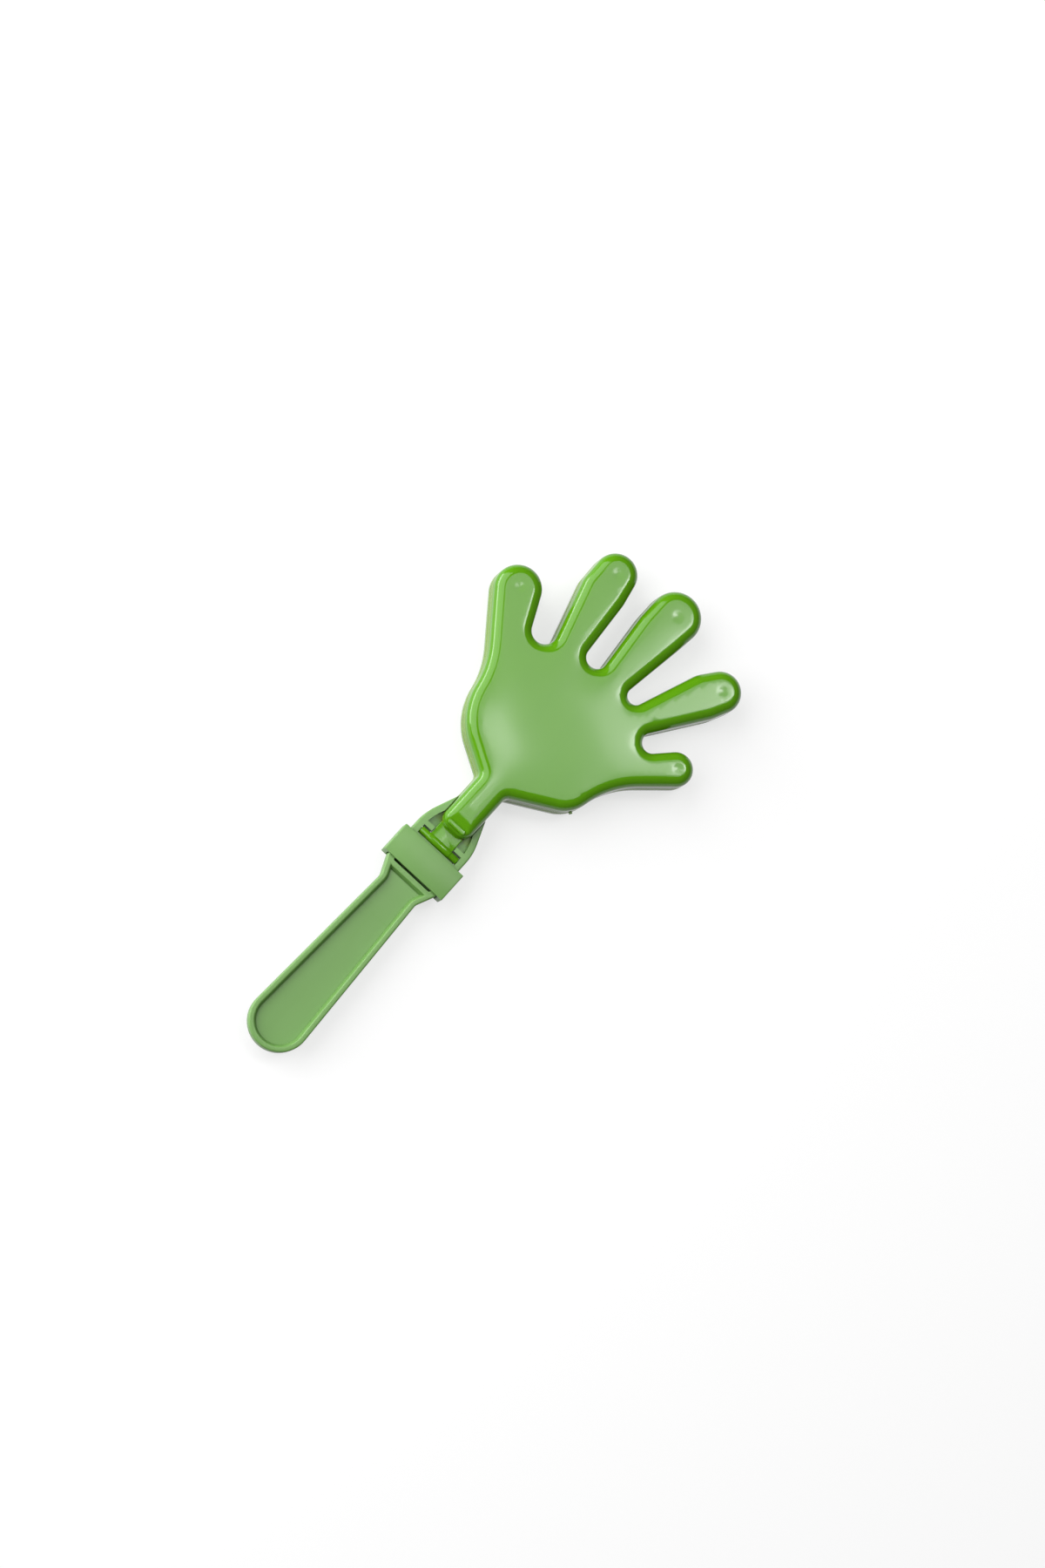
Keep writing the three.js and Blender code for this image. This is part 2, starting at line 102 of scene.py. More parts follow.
class Blank:
    """A piece on the bench, in millimetres, with the clapper's middle plane at height nought."""

    def __init__(self, name: str) -> None:
        """Takes the active object as a blank, and names it and its mesh.

        Args:
            name: The name of the piece.
        """
        self.object = bpy.context.object
        self.object.name = name
        self.object.data.name = name

    @classmethod
    def plane(cls, name: str) -> "Blank":
        """Starts a blank as a small level plane.

        Args:
            name: The name of the piece.

        Returns:
            The blank.
        """
        bpy.ops.object.select_all(action="DESELECT")
        bpy.ops.mesh.primitive_plane_add(size=1.0)
        return cls(name)

    @classmethod
    def rod(cls, name: str, sides: int, radius: float, length: float, place: Point) -> "Blank":
        """Starts a blank as a rod that lies along the X axis.

        Args:
            name: The name of the piece.
            sides: How many sides the rod has.
            radius: Its radius.
            length: Its length.
            place: Its middle.

        Returns:
            The blank.
        """
        bpy.ops.object.select_all(action="DESELECT")
        bpy.ops.mesh.primitive_cylinder_add(
            vertices=sides, radius=radius, depth=length, location=place, rotation=(0, math.pi / 2, 0)
        )
        bpy.ops.object.transform_apply(location=True, rotation=True, scale=True)
        return cls(name)

    @contextmanager
    def open(self) -> Iterator[None]:
        """Keeps the blank in edit mode while its lines run.

        Returns:
            A context in which mesh operators act on this blank.
        """
        self.hold()
        bpy.ops.object.mode_set(mode="EDIT")
        yield
        bpy.ops.object.mode_set(mode="OBJECT")

    def hold(self) -> None:
        """Makes this blank the only selected object and the active one."""
        bpy.ops.object.select_all(action="DESELECT")
        self.object.select_set(True)
        bpy.context.view_layer.objects.active = self.object

    def pick(self, kind: Kind, test: Callable[..., bool]) -> int:
        """Selects just the elements that pass a test.

        Args:
            kind: Corners, edges or faces.
            test: Takes an element and says whether it is picked.

        Returns:
            How many elements are picked.
        """
        bpy.ops.mesh.select_mode(type=kind.value)
        pick_none()
        shape = bmesh.from_edit_mesh(self.object.data)
        rows = {Kind.CORNERS: shape.verts, Kind.EDGES: shape.edges, Kind.FACES: shape.faces}[kind]
        found = [item for item in rows if test(item)]
        for item in found:
            item.select_set(True)
        shape.select_flush_mode()
        bmesh.update_edit_mesh(self.object.data)
        return len(found)

    def to_point(self, point: Point) -> None:
        """Shrinks the fresh plane to one corner at a point."""
        bpy.ops.mesh.select_mode(type=Kind.CORNERS.value)
        pick_all()
        bpy.ops.mesh.merge(type="CENTER")
        bpy.ops.transform.translate(value=point)

    def to_box(self, low: Point, high: Point) -> None:
        """Makes the fresh plane a box between two corners.

        Args:
            low: The lowest corner.
            high: The highest corner.
        """
        width, depth, height = (b - a for a, b in zip(low, high))
        middle = [(a + b) / 2 for a, b in zip(low, high)]
        pick_all()
        bpy.ops.transform.resize(value=(width, depth, 1.0), center_override=(0, 0, 0))
        bpy.ops.transform.translate(value=(middle[0], middle[1], low[2]))
        raise_picked(height)
        self.face_outwards()

    def face_outwards(self) -> None:
        """Turns all faces outwards and leaves nothing selected."""
        pick_all()
        bpy.ops.mesh.normals_make_consistent(inside=False)
        pick_none()

    def pick_level(self, height: float, way: float) -> int:
        """Selects the flat faces at a height.

        Args:
            height: The faces' height.
            way: 1 for faces that look up, -1 for faces that look down.

        Returns:
            How many faces are picked.
        """
        return self.pick(
            Kind.FACES,
            lambda face: way * face.normal.z > LEVEL and abs(face.calc_center_median().z - height) < HAIR,
        )

    def step_in(self, rings: Sequence[Ring]) -> None:
        """Insets the picked face ring by ring, which leaves a wall of faces behind it.

        Args:
            rings: Pairs of inset and height along the face's normal, from where the face is now.
        """
        for (inset, height), (next_inset, next_height) in pairwise(rings):
            bpy.ops.mesh.inset(
                thickness=next_inset - inset,
                depth=next_height - height,
                use_even_offset=True,
                use_boundary=True,
            )

    def set_heights(self, height: Callable[[bmesh.types.BMVert], float]) -> None:
        """Presses the surface in or out by moving its corners straight up or down.

        Args:
            height: Gives a corner's new height.
        """
        shape = bmesh.from_edit_mesh(self.object.data)
        shape.normal_update()
        heights = [height(corner) for corner in shape.verts]
        for corner, new_height in zip(shape.verts, heights):
            corner.co.z = new_height
        bmesh.update_edit_mesh(self.object.data)

    def round_edges(self, radius: float, test: Callable[..., bool], segments: int = SMALL_SEGMENTS) -> None:
        """Rounds the edges that pass a test.

        Args:
            radius: How far the rounding reaches from the edge.
            test: Takes an edge and says whether it is rounded.
            segments: How many faces the rounding has.
        """
        if self.pick(Kind.EDGES, test):
            bpy.ops.mesh.bevel(offset=radius, segments=segments, affect="EDGES", clamp_overlap=False)

    def combine(self, other: "Blank", how: Join) -> None:
        """Adds another blank to this one or cuts it away, and uses it up.

        Args:
            other: The blank that is used up.
            how: Whether it is added or cut away.
        """
        self.hold()
        bpy.ops.object.modifier_add(type="BOOLEAN")
        modifier = self.object.modifiers[-1]
        modifier.operation = how.value
        modifier.solver = "EXACT"
        modifier.object = other.object
        bpy.ops.object.modifier_apply(modifier=modifier.name)
        other.hold()
        bpy.ops.object.delete()

    def break_edges(self, width: float) -> None:
        """Breaks every sharp edge.

        Args:
            width: The width of the break.
        """
        self.hold()
        bpy.ops.object.modifier_add(type="BEVEL")
        modifier = self.object.modifiers[-1]
        modifier.width = width
        modifier.segments = SMALL_SEGMENTS
        modifier.limit_method = "ANGLE"
        modifier.angle_limit = math.radians(BREAK_DEGREES)
        bpy.ops.object.modifier_apply(modifier=modifier.name)

    def copy_mirrored(self, name: str) -> "Blank":
        """Copies the blank to the other side of the middle plane.

        Args:
            name: The name of the copy.

        Returns:
            The copy, with its own mesh.
        """
        self.hold()
        bpy.ops.object.duplicate(linked=False)
        twin = Blank(name)
        with twin.open():
            pick_all()
            bpy.ops.transform.resize(value=(1, 1, -1), center_override=(0, 0, 0))
            bpy.ops.mesh.flip_normals()
        return twin

    def to_metres(self, lift: float) -> bpy.types.Object:
        """Brings the finished blank to its place in metres.

        Args:
            lift: The middle plane's height above the floor, in millimetres.

        Returns:
            The finished object, which sits at the origin.
        """
        with self.open():
            pick_all()
            bpy.ops.transform.translate(value=(0, 0, lift))
            bpy.ops.transform.resize(value=(MILLIMETRE,) * 3, center_override=(0, 0, 0))
            pick_none()
        self.hold()
        bpy.ops.object.shade_smooth_by_angle(angle=math.radians(SMOOTH_DEGREES))
        return self.object


def pick_all() -> None:
    """Selects all of the open blank."""
    bpy.ops.mesh.select_all(action="SELECT")


def pick_none() -> None:
    """Selects nothing of the open blank."""
    bpy.ops.mesh.select_all(action="DESELECT")


def is_sharp(edge: bmesh.types.BMEdge) -> bool:
    """Whether an edge between two faces is sharp."""
    return edge.calc_face_angle(0.0) > math.radians(SHARP_DEGREES)


def runs_along(edge: bmesh.types.BMEdge) -> bool:
    """Whether an edge runs along the clapper."""
    return abs((edge.verts[0].co - edge.verts[1].co).y) > HAIR


def raise_picked(height: float) -> None:
    """Extrudes what is picked straight up by a height."""
    bpy.ops.mesh.extrude_region_move(TRANSFORM_OT_translate={"value": (0, 0, height)})


def crosses(face: bmesh.types.BMFace, place: float) -> bool:
    """Whether a face reaches across a place along the clapper."""
    places = [corner.co.y for corner in face.verts]
    return min(places) < place < max(places)


def quarter_round(radius: float, inset: float, top: float, steps: int) -> list[Ring]:
    """Rings over a quarter-round edge.

    Args:
        radius: The edge's radius.
        inset: The wall's inset at the foot of the rounding.
        top: The height of the face.
        steps: How many faces the rounding has.

    Returns:
        Pairs of inset and height, from the foot of the rounding up to the face.
    """
    turns = [math.pi / 2 * step / steps for step in range(steps + 1)]
    return [(inset + radius * (1 - math.cos(turn)), top - radius * (1 - math.sin(turn))) for turn in turns]


def soft_minimum(first: float, second: float, blend: float) -> float:
    """The lower of two heights, with the crease between them rounded.

    Args:
        first: One height.
        second: The other height.
        blend: How close the heights are where the rounding starts.

    Returns:
        The height.
    """
    closeness = max(0.0, 1 - abs(first - second) / blend)
    return min(first, second) - closeness**2 * blend / 4


@dataclass(frozen=True)
class Round:
    """A circle of an outline, which bulges round a positive radius and hollows round a negative one."""

    x: float
    y: float
    radius: float

    def towards(self, other: "Round") -> float:
        """The angle of the outward normal on the straight run from this circle to the next.

        Args:
            other: The next circle, anticlockwise.

        Returns:
            The angle from the X axis, in radians.
        """
        along = Vector((other.x - self.x, other.y - self.y))
        lift = (self.radius - other.radius) / along.length
        return math.atan2(along.y, along.x) - math.acos(max(-1.0, min(1.0, lift)))

    def at(self, angle: float, height: float) -> Vector:
        """The outline's point on this circle at an angle."""
        x, y = self.x + self.radius * math.cos(angle), self.y + self.radius * math.sin(angle)
        return Vector((x, y, height))


@dataclass(frozen=True)
class Outline:
    """A closed line that runs anticlockwise round circles like a belt, straight from one to the next."""

    rounds: tuple[Round, ...]
    chord_error: float = 0.02
    smallest_turn: float = 1e-4
    largest_turn: float = 1.75 * math.pi

    def grown(self, amount: float) -> "Outline":
        """The same outline, set out by an amount, or in by a negative one."""
        return Outline(tuple(Round(each.x, each.y, each.radius + amount) for each in self.rounds))

    def trace(self, blank: Blank, height: float) -> None:
        """Draws the outline with spins and straight runs, and fills it with one face that looks up.

        Args:
            blank: The fresh blank, open.
            height: The height of the face.
        """
        rounds = self.rounds
        count = len(rounds)
        normals = [rounds[i].towards(rounds[(i + 1) % count]) for i in range(count)]
        place = rounds[0].at(normals[-1], height)
        blank.to_point(tuple(place))
        for i, circle in enumerate(rounds):
            turn = self.turn_at(circle, normals[i - 1], normals[i])
            if abs(turn) > self.smallest_turn:
                fineness = 2 * math.acos(1 - min(1.0, self.chord_error / abs(circle.radius)))
                bpy.ops.mesh.spin(
                    steps=max(1, round(abs(turn) / fineness)),
                    angle=-turn,
                    center=(circle.x, circle.y, height),
                    axis=(0, 0, 1),
                    use_auto_merge=False,
                )
            end = circle.at(normals[i], height)
            start = rounds[(i + 1) % count].at(normals[i], height)
            if (start - end).length > HAIR:
                bpy.ops.mesh.extrude_vertices_move(TRANSFORM_OT_translate={"value": tuple(start - end)})
        pick_all()
        bpy.ops.mesh.remove_doubles(threshold=HAIR)
        bpy.ops.mesh.edge_face_add()
        shape = bmesh.from_edit_mesh(blank.object.data)
        shape.faces.ensure_lookup_table()
        shape.normal_update()
        if shape.faces[0].normal.z < 0:
            bpy.ops.mesh.flip_normals()

    def turn_at(self, circle: Round, start: float, end: float) -> float:
        """The angle turned through at a circle, where a grazed circle may turn a little the other way.

        Args:
            circle: The circle.
            start: The normal's angle where the line reaches it.
            end: The normal's angle where the line leaves it.

        Returns:
            The turn in radians, positive anticlockwise.
        """
        way = math.copysign(1.0, circle.radius)
        turn = (way * (end - start)) % (2 * math.pi)
        return way * (turn - 2 * math.pi if turn > self.largest_turn else turn)

    def slab(self, name: str, bottom: float, top: float) -> Blank:
        """A solid slab of this outline.

        Args:
            name: The blank's name.
            bottom: Its lowest height.
            top: Its highest height.

        Returns:
            The blank.
        """
        blank = Blank.plane(name)
        with blank.open():
            self.trace(blank, bottom)
            raise_picked(top - bottom)
            blank.face_outwards()
        return blank


@dataclass(frozen=True)
class Hand:
    """The outline that all three hands share: fingertips, finger pads, gaps, heel and neck."""

    thumb: Round = Round(55.7, 13.2, 8.1)
    index: Round = Round(47.6, 53.3, 9.8)
    middle: Round = Round(10.1, 64.3, 12.1)
    ring: Round = Round(-22.7, 60.0, 10.1)
    little: Round = Round(-50.9, 24.6, 11.1)
    index_pad: Round = Round(43.6, 46.6, 10.6)
    middle_pad: Round = Round(9.5, 54.6, 11.5)
    ring_pad: Round = Round(-21.6, 50.4, 10.9)
    little_pad: Round = Round(-50.1, 17.9, 13.3)
    thumb_gap: Round = Round(40.0, 14.6, -4.4)
    index_gap: Round = Round(20.5, 25.3, -3.7)
    ring_gap: Round = Round(-4.0, 26.0, -4.7)
    little_gap: Round = Round(-29.4, 18.6, -5.7)
    thumb_heel: Round = Round(19.8, -23.4, 16.7)
    little_heel: Round = Round(-5.3, -14.9, 31.3)
    thumb_side_degrees: float = 47.1
    thumb_side_radius: float = 43.1
    little_side_degrees: float = 37.5
    little_side_radius: float = 42.5
    neck_top: float = -51.2
    neck_end: float = -76.8
    neck_width: float = 16.0
    neck_fillet: float = 3.0
    neck_corner: float = 5.48
    set_in: float = 0.05

    def side(self, degrees: float, radius: float, tip: Round, heel: Round) -> Round:
        """The circle that a side of the palm hollows round, between the finger's side and the heel.

        Args:
            degrees: How far the finger's straight side faces below the X axis.
            radius: The hollow's radius.
            tip: The finger's tip.
            heel: The heel's circle on that side.

        Returns:
            The circle.
        """
        way = math.copysign(1.0, tip.x)
        down = math.radians(degrees)
        facing = Vector((way * math.cos(down), -math.sin(down)))
        along = Vector((way * math.sin(down), math.cos(down)))
        reach = (tip.x - heel.x) * facing.x + (tip.y - heel.y) * facing.y + tip.radius + radius
        rise = math.sqrt((heel.radius + radius) ** 2 - reach**2)
        middle = Vector((heel.x, heel.y)) + reach * facing + rise * along
        return Round(middle.x, middle.y, -radius)

    def outline(self) -> Outline:
        """The whole outline, anticlockwise from the neck's end on the thumb's side.

        Returns:
            The outline, a little inside the coarser solids.
        """
        corner_x = self.neck_width / 2 - self.neck_corner
        corner_y = self.neck_end + self.neck_corner
        fillet_x = self.neck_width / 2 + self.neck_fillet
        return Outline(
            (
                Round(corner_x, corner_y, self.neck_corner),
                Round(fillet_x, self.neck_top, -self.neck_fillet),
                self.thumb_heel,
                self.side(self.thumb_side_degrees, self.thumb_side_radius, self.thumb, self.thumb_heel),
                self.thumb,
                self.thumb_gap,
                self.index_pad,
                self.index,
                self.index_pad,
                self.index_gap,
                self.middle_pad,
                self.middle,
                self.middle_pad,
                self.ring_gap,
                self.ring_pad,
                self.ring,
                self.ring_pad,
                self.little_gap,
                self.little_pad,
                self.little,
                self.side(self.little_side_degrees, self.little_side_radius, self.little, self.little_heel),
                self.little_heel,
                Round(-fillet_x, self.neck_top, -self.neck_fillet),
                Round(-corner_x, corner_y, self.neck_corner),
            )
        ).grown(-self.set_in)

    def fingertips(self) -> tuple[Round, ...]:
        """The five fingertips."""
        return self.thumb, self.index, self.middle, self.ring, self.little


@dataclass(frozen=True)
class Hinge:
    """The places of the two hinge pins and of the frame's pocket that holds them."""

    pin_y: float = -84.4
    pin_height: float = 2.15
    roll_radius: float = 2.0
    stub_radius: float = 1.7
    nib_radius: float = 0.8
    nib_length: float = 0.8
    roll_length: float = 12.6
    pocket_width: float = 22.1
    play: float = 0.3
    socket_play: float = 0.25
    pin_rounding: float = 0.15
    pin_sides: int = 40
    socket_sides: int = 32


@dataclass
class HollowHand:
    """A hollow hand on its hinge tab: shell, pin and stop bar in one moulding."""

    hand: Hand = field(default_factory=Hand)
    hinge: Hinge = field(default_factory=Hinge)
    rim_height: float = 2.0
    face_height: float = 11.8
    wall: float = 1.6
    edge_radius: float = 5.0
    draft_lean: float = 0.08
    foot: float = 0.5
    outer_segments: int = 9
    inner_segments: int = 6
    rim_rounding: float = 0.18
    pillow: float = 0.4
    pillow_smoothing: int = 60
    smoothing_share: float = 0.5
    grid: float = 2.5
    grid_x: Span = (-64.0, 66.0)
    grid_y: Span = (-78.0, 80.0)
    face_slack: float = 0.1
    dimple_depth: float = 0.16
    dimple_reach: float = 3.2
    dimple_cuts: int = 3
    roll_length: float = 9.0
    roll_radius: float = 12.0
    roll_grid: float = 0.75
    roll_blend: float = 0.6
    tab_thickness: float = 2.1
    tab_height: float = 1.1
    tab_root: float = 1.12
    tab_rounding: float = 0.3
    bar_place: float = 2.7
    bar_length: float = 9.6
    bar_width: float = 2.2
    bar_lean: float = 0.4
    bar_foot: float = 8.25
    bar_top: float = 10.4
    bar_edge: float = 0.4
    bar_segments: int = 4

    def build(self, name: str) -> Blank:
        """Models the upper hand.

        Args:
            name: The name of the piece.

        Returns:
            The finished blank.
        """
        shell = self.shell(name)
        for part in (self.tab(), self.pin(), self.stop_bar()):
            shell.combine(part, Join.ADD)
        return shell

    def shell(self, name: str) -> Blank:
        """The hollow shell, with a rounded outer edge and a gently domed face.

        Args:
            name: The name of the piece.

        Returns:
            The blank.
        """
        edge_top = self.face_height - self.pillow
        outer = quarter_round(self.edge_radius, self.draft_lean, edge_top, self.outer_segments)
        inner_radius = self.edge_radius - self.wall
        inner_inset = self.wall + self.draft_lean
        ceiling = quarter_round(inner_radius, inner_inset, edge_top - self.wall, self.inner_segments)
        shell = Blank.plane(name)
        with shell.open():
            self.hand.outline().trace(shell, self.rim_height)
            raise_picked(self.foot)
            shell.face_outwards()
            shell.pick_level(self.rim_height + self.foot, 1)
            shell.step_in([(0.0, self.rim_height + self.foot), *outer])
            shell.pick_level(self.rim_height, -1)
            inner = [(0.0, -self.rim_height), (self.wall, -self.rim_height)]
            shell.step_in([*inner, *((inset, -height) for inset, height in ceiling)])
            shell.round_edges(self.rim_rounding, self.on_rim)
            self.dome(shell, edge_top)
            for tip in self.hand.fingertips():
                self.dimple(shell, tip, edge_top)
            self.roll_down(shell)
        return shell

    def on_rim(self, edge: bmesh.types.BMEdge) -> bool:
        """Whether an edge is one of the rim's two sharp lines."""
        level = all(abs(corner.co.z - self.rim_height) < HAIR for corner in edge.verts)
        return level and is_sharp(edge)

    def dome(self, shell: Blank, edge_top: float) -> None:
        """Grids the flat face and swells it a little.

        Args:
            shell: The shell, open.
            edge_top: The height of the flat face.
        """
        for direction, (low, high) in ((Vector((1, 0, 0)), self.grid_x), (Vector((0, 1, 0)), self.grid_y)):
            for step in range(int((high - low) / self.grid)):
                shell.pick_level(edge_top, 1)
                bpy.ops.mesh.bisect(plane_co=direction * (low + step * self.grid), plane_no=direction)
        shell.pick(Kind.CORNERS, lambda corner: self.inside_face(corner, edge_top))
        bpy.ops.transform.translate(value=(0, 0, self.pillow))
        bpy.ops.mesh.vertices_smooth(
            factor=self.smoothing_share,
            repeat=self.pillow_smoothing,
            xaxis=False,
            yaxis=False,
            zaxis=True,
            wait_for_input=False,
        )

    def inside_face(self, corner: bmesh.types.BMVert, edge_top: float) -> bool:
        """Whether a corner lies inside the flat face and not on its border."""
        level = all(face.normal.z > LEVEL for face in corner.link_faces)
        lowest = min(other.co.z for face in corner.link_faces for other in face.verts)
        return level and lowest > edge_top - HAIR

    def dimple(self, shell: Blank, tip: Round, edge_top: float) -> None:
        """Sinks the face a little over one fingertip, where the moulding is thicker inside.

        Args:
            shell: The shell, open.
            tip: The fingertip.
            edge_top: A height below the whole face.
        """
        centre = Vector((tip.x, tip.y))
        shell.pick(
            Kind.FACES,
            lambda face: face.normal.z > NEARLY_LEVEL
            and face.calc_center_median().z > edge_top - self.face_slack
            and (face.calc_center_median().xy - centre).length < self.dimple_reach + self.grid,
        )
        bpy.ops.mesh.subdivide(number_cuts=self.dimple_cuts)

        def sunk(corner: bmesh.types.BMVert) -> float:
            away = min(1.0, (corner.co.xy - centre).length / self.dimple_reach)
            depth = self.dimple_depth if corner.co.z > edge_top - self.face_slack else 0.0
            return corner.co.z - depth * math.cos(away * math.pi / 2) ** 2

        shell.set_heights(sunk)

    def roll_down(self, shell: Blank) -> None:
        """Rolls the face of the neck down towards the hinge, outside and inside.

        Args:
            shell: The shell, open.
        """
        start = self.hand.neck_end + self.roll_length
        for step in range(int(self.roll_length / self.roll_grid)):
            place = start - step * self.roll_grid
            shell.pick(Kind.FACES, lambda face, place=place: crosses(face, place))
            bpy.ops.mesh.bisect(plane_co=(0, place, 0), plane_no=(0, 1, 0))

        def rolled(corner: bmesh.types.BMVert) -> float:
            along = start - corner.co.y
            radius = self.roll_radius if corner.normal.z > 0 else self.roll_radius - self.wall
            if along <= 0:
                return corner.co.z
            roll = self.face_height - self.pillow - self.roll_radius + math.sqrt(radius**2 - along**2)
            return soft_minimum(corner.co.z, roll, self.roll_blend)

        shell.set_heights(rolled)

    def tab(self) -> Blank:
        """The flat tab between the neck's end and the pin."""
        half = self.hinge.roll_length / 2
        low = (-half, self.hinge.pin_y, self.tab_height)
        high = (half, self.hand.neck_end + self.tab_root, self.tab_height + self.tab_thickness)
        blank = Blank.plane("tab")
        with blank.open():
            blank.to_box(low, high)
            blank.round_edges(self.tab_rounding, runs_along)
        return blank

    def pin(self) -> Blank:
        """The hinge pin: a roll, a thinner stub at each side and a nib at each end."""
        hinge = self.hinge
        stub_end = hinge.pocket_width / 2 - hinge.play
        nib_end = hinge.pocket_width / 2 + hinge.nib_length
        place = (0, hinge.pin_y, hinge.pin_height)
        blank = Blank.rod("pin", hinge.pin_sides, hinge.roll_radius, hinge.roll_length, place)
        with blank.open():
            for way in (-1, 1):
                blank.pick(Kind.FACES, lambda face, way=way: way * face.normal.x > LEVEL)
                for inset, reach in (
                    (hinge.roll_radius - hinge.stub_radius, stub_end - hinge.roll_length / 2),
                    (hinge.stub_radius - hinge.nib_radius, nib_end - stub_end),
                ):
                    bpy.ops.mesh.inset(thickness=inset, depth=0)
                    bpy.ops.mesh.extrude_region_move(TRANSFORM_OT_translate={"value": (way * reach, 0, 0)})
            blank.round_edges(hinge.pin_rounding, is_sharp)
        return blank

    def stop_bar(self) -> Blank:
        """The round-ended bar with a level top, on the neck where its face rolls down to the hinge."""
        end = self.bar_width / 2
        reach = self.bar_length / 2 - end
        middle = self.hand.neck_end + self.bar_place - self.bar_lean
        ends = (Round(reach, middle, end), Round(-reach, middle, end))
        bar = Outline(ends).slab("stop_bar", self.bar_foot, self.bar_top)
        with bar.open():
            bar.round_edges(
                self.bar_edge,
                lambda edge: all(abs(corner.co.z - self.bar_top) < HAIR for corner in edge.verts),
                self.bar_segments,
            )
        return bar


@dataclass
class Handle:
    """The grip with its hinge frame, and the flat middle hand on the frame's neck."""

    hand: Hand = field(default_factory=Hand)
    hinge: Hinge = field(default_factory=Hinge)
    thickness: float = 7.4
    web: float = 1.6
    edge_radius: float = 0.8
    edge_segments: int = 5
    edge_break: float = 0.15
    frame_width: float = 28.5
    frame_wall: float = 3.2
    frame_arc_radius: float = 25.0
    frame_taper: float = 22.0
    frame_fillet: float = 8.0
    frame_corner: float = 4.0
    pocket_top: float = -82.1
    pocket_end: float = -86.7
    ledge_top: float = -79.9
    window_top: float = -90.3
    rail_top: float = -103.3
    rail_end: float = -105.7
    grip_end: float = -203.6
    grip_end_radius: float = 14.0
    grip_root_width: float = 20.6
    grip_rim: float = 2.7
    wall_lean: float = 0.8
    foot_height: float = 0.8
    foot_segments: int = 4
    shoulder_length: float = 6.8
    shoulder_fillet: float = 5.0
    neck_play: float = 0.4
    plate_thickness: float = 3.4
    plate_rim: float = 2.4
    plate_web: float = 1.2
    plate_edge: float = 0.35
    plate_segments: int = 3
    plate_bevel_width: float = 0.2
    plate_bevel_height: float = 0.25
    plate_lean: float = 0.05
    plate_foot: float = 0.3
    gate_length: float = 0.9
    gate_width: float = 1.4
    gate_thickness: float = 1.2
    gate_rounding: float = 0.2
    gate_degrees: float = -33.0
    cutter_reach: float = 14.0

    def outline(self) -> Outline:
        """Grip, shoulder, frame and the root of the neck, anticlockwise from the grip's end."""
        half = self.frame_width / 2
        neck = self.hand.neck_width / 2
        root = self.grip_root_width / 2 + self.shoulder_fillet
        side = (
            Round(root, self.rail_end - self.shoulder_length, -self.shoulder_fillet),
            Round(half - self.frame_corner, self.rail_end + self.frame_corner, self.frame_corner),
            Round(half - self.frame_arc_radius, self.pocket_top, self.frame_arc_radius),
            Round(neck + self.frame_fillet, self.pocket_top + self.frame_taper, -self.frame_fillet),
            Round(neck - self.frame_corner, self.hand.neck_top - self.frame_corner, self.frame_corner),
        )
        other_side = tuple(Round(-each.x, each.y, each.radius) for each in reversed(side))
        grip = Round(0, self.grip_end + self.grip_end_radius, self.grip_end_radius)
        return Outline((grip, *side, *other_side))

    def beyond(self, half: float) -> tuple[Span, Span]:
        """The heights above and below a plate of half a thickness, out past the handle."""
        return (half, self.cutter_reach), (-self.cutter_reach, -half)

    def build(self, name: str) -> Blank:
        """Models the handle.

        Args:
            name: The name of the piece.

        Returns:
            The finished blank.
        """
        handle = self.body(name)
        room = self.hand.outline().grown(self.neck_play)
        for bottom, top in self.beyond(self.plate_thickness / 2):
            handle.combine(room.slab("room", bottom, top), Join.CUT)
        for part in (self.middle_hand(), self.gate_stub()):
            handle.combine(part, Join.ADD)
        for bottom, top in self.beyond(self.web / 2):
            handle.combine(self.inside(self.ledge_top, self.hand.neck_top, bottom, top), Join.CUT)
        for near, far in ((self.pocket_end, self.pocket_top), (self.rail_top, self.window_top)):
            handle.combine(self.inside(near, far, -self.cutter_reach, self.cutter_reach), Join.CUT)
        for cutter in (self.tab_slot(), self.socket(-1), self.socket(1)):
            handle.combine(cutter, Join.CUT)
        handle.break_edges(self.edge_break)
        return handle

    def body(self, name: str) -> Blank:
        """Grip and frame in full thickness, with rounded edges and a hollow in each face of the grip.

        Args:
            name: The name of the piece.

        Returns:
            The blank.
        """
        half = self.thickness / 2
        foot = half - self.edge_radius
        floor = self.web / 2
        edge = quarter_round(self.edge_radius, 0.0, half, self.edge_segments)
        lip_start = self.grip_rim - self.edge_radius
        lip = [(lip_start + self.edge_radius - inset, height) for inset, height in reversed(edge)]
        wall_foot = [
            (self.grip_rim + self.wall_lean, floor + self.foot_height - fall)
            for fall, _ in quarter_round(self.foot_height, 0.0, 0.0, self.foot_segments)
        ]
        body = Blank.plane(name)
        with body.open():
            self.outline().trace(body, -foot)
            raise_picked(2 * foot)
            body.face_outwards()
            for way in (1, -1):
                body.pick_level(way * foot, way)
                body.step_in(edge)
                bpy.ops.mesh.bisect(plane_co=(0, self.rail_end + lip_start, 0), plane_no=(0, 1, 0))
                body.pick(Kind.FACES, lambda face, way=way: self.is_grip_face(face, way, half))
                body.step_in([(self.edge_radius, half), *lip, *wall_foot])
        return body

    def is_grip_face(self, face: bmesh.types.BMFace, way: float, half: float) -> bool:
        """Whether a face is the flat of the grip on one side."""
        middle = face.calc_center_median()
        level = way * face.normal.z > LEVEL and abs(middle.z - way * half) < HAIR
        return level and middle.y < self.rail_end

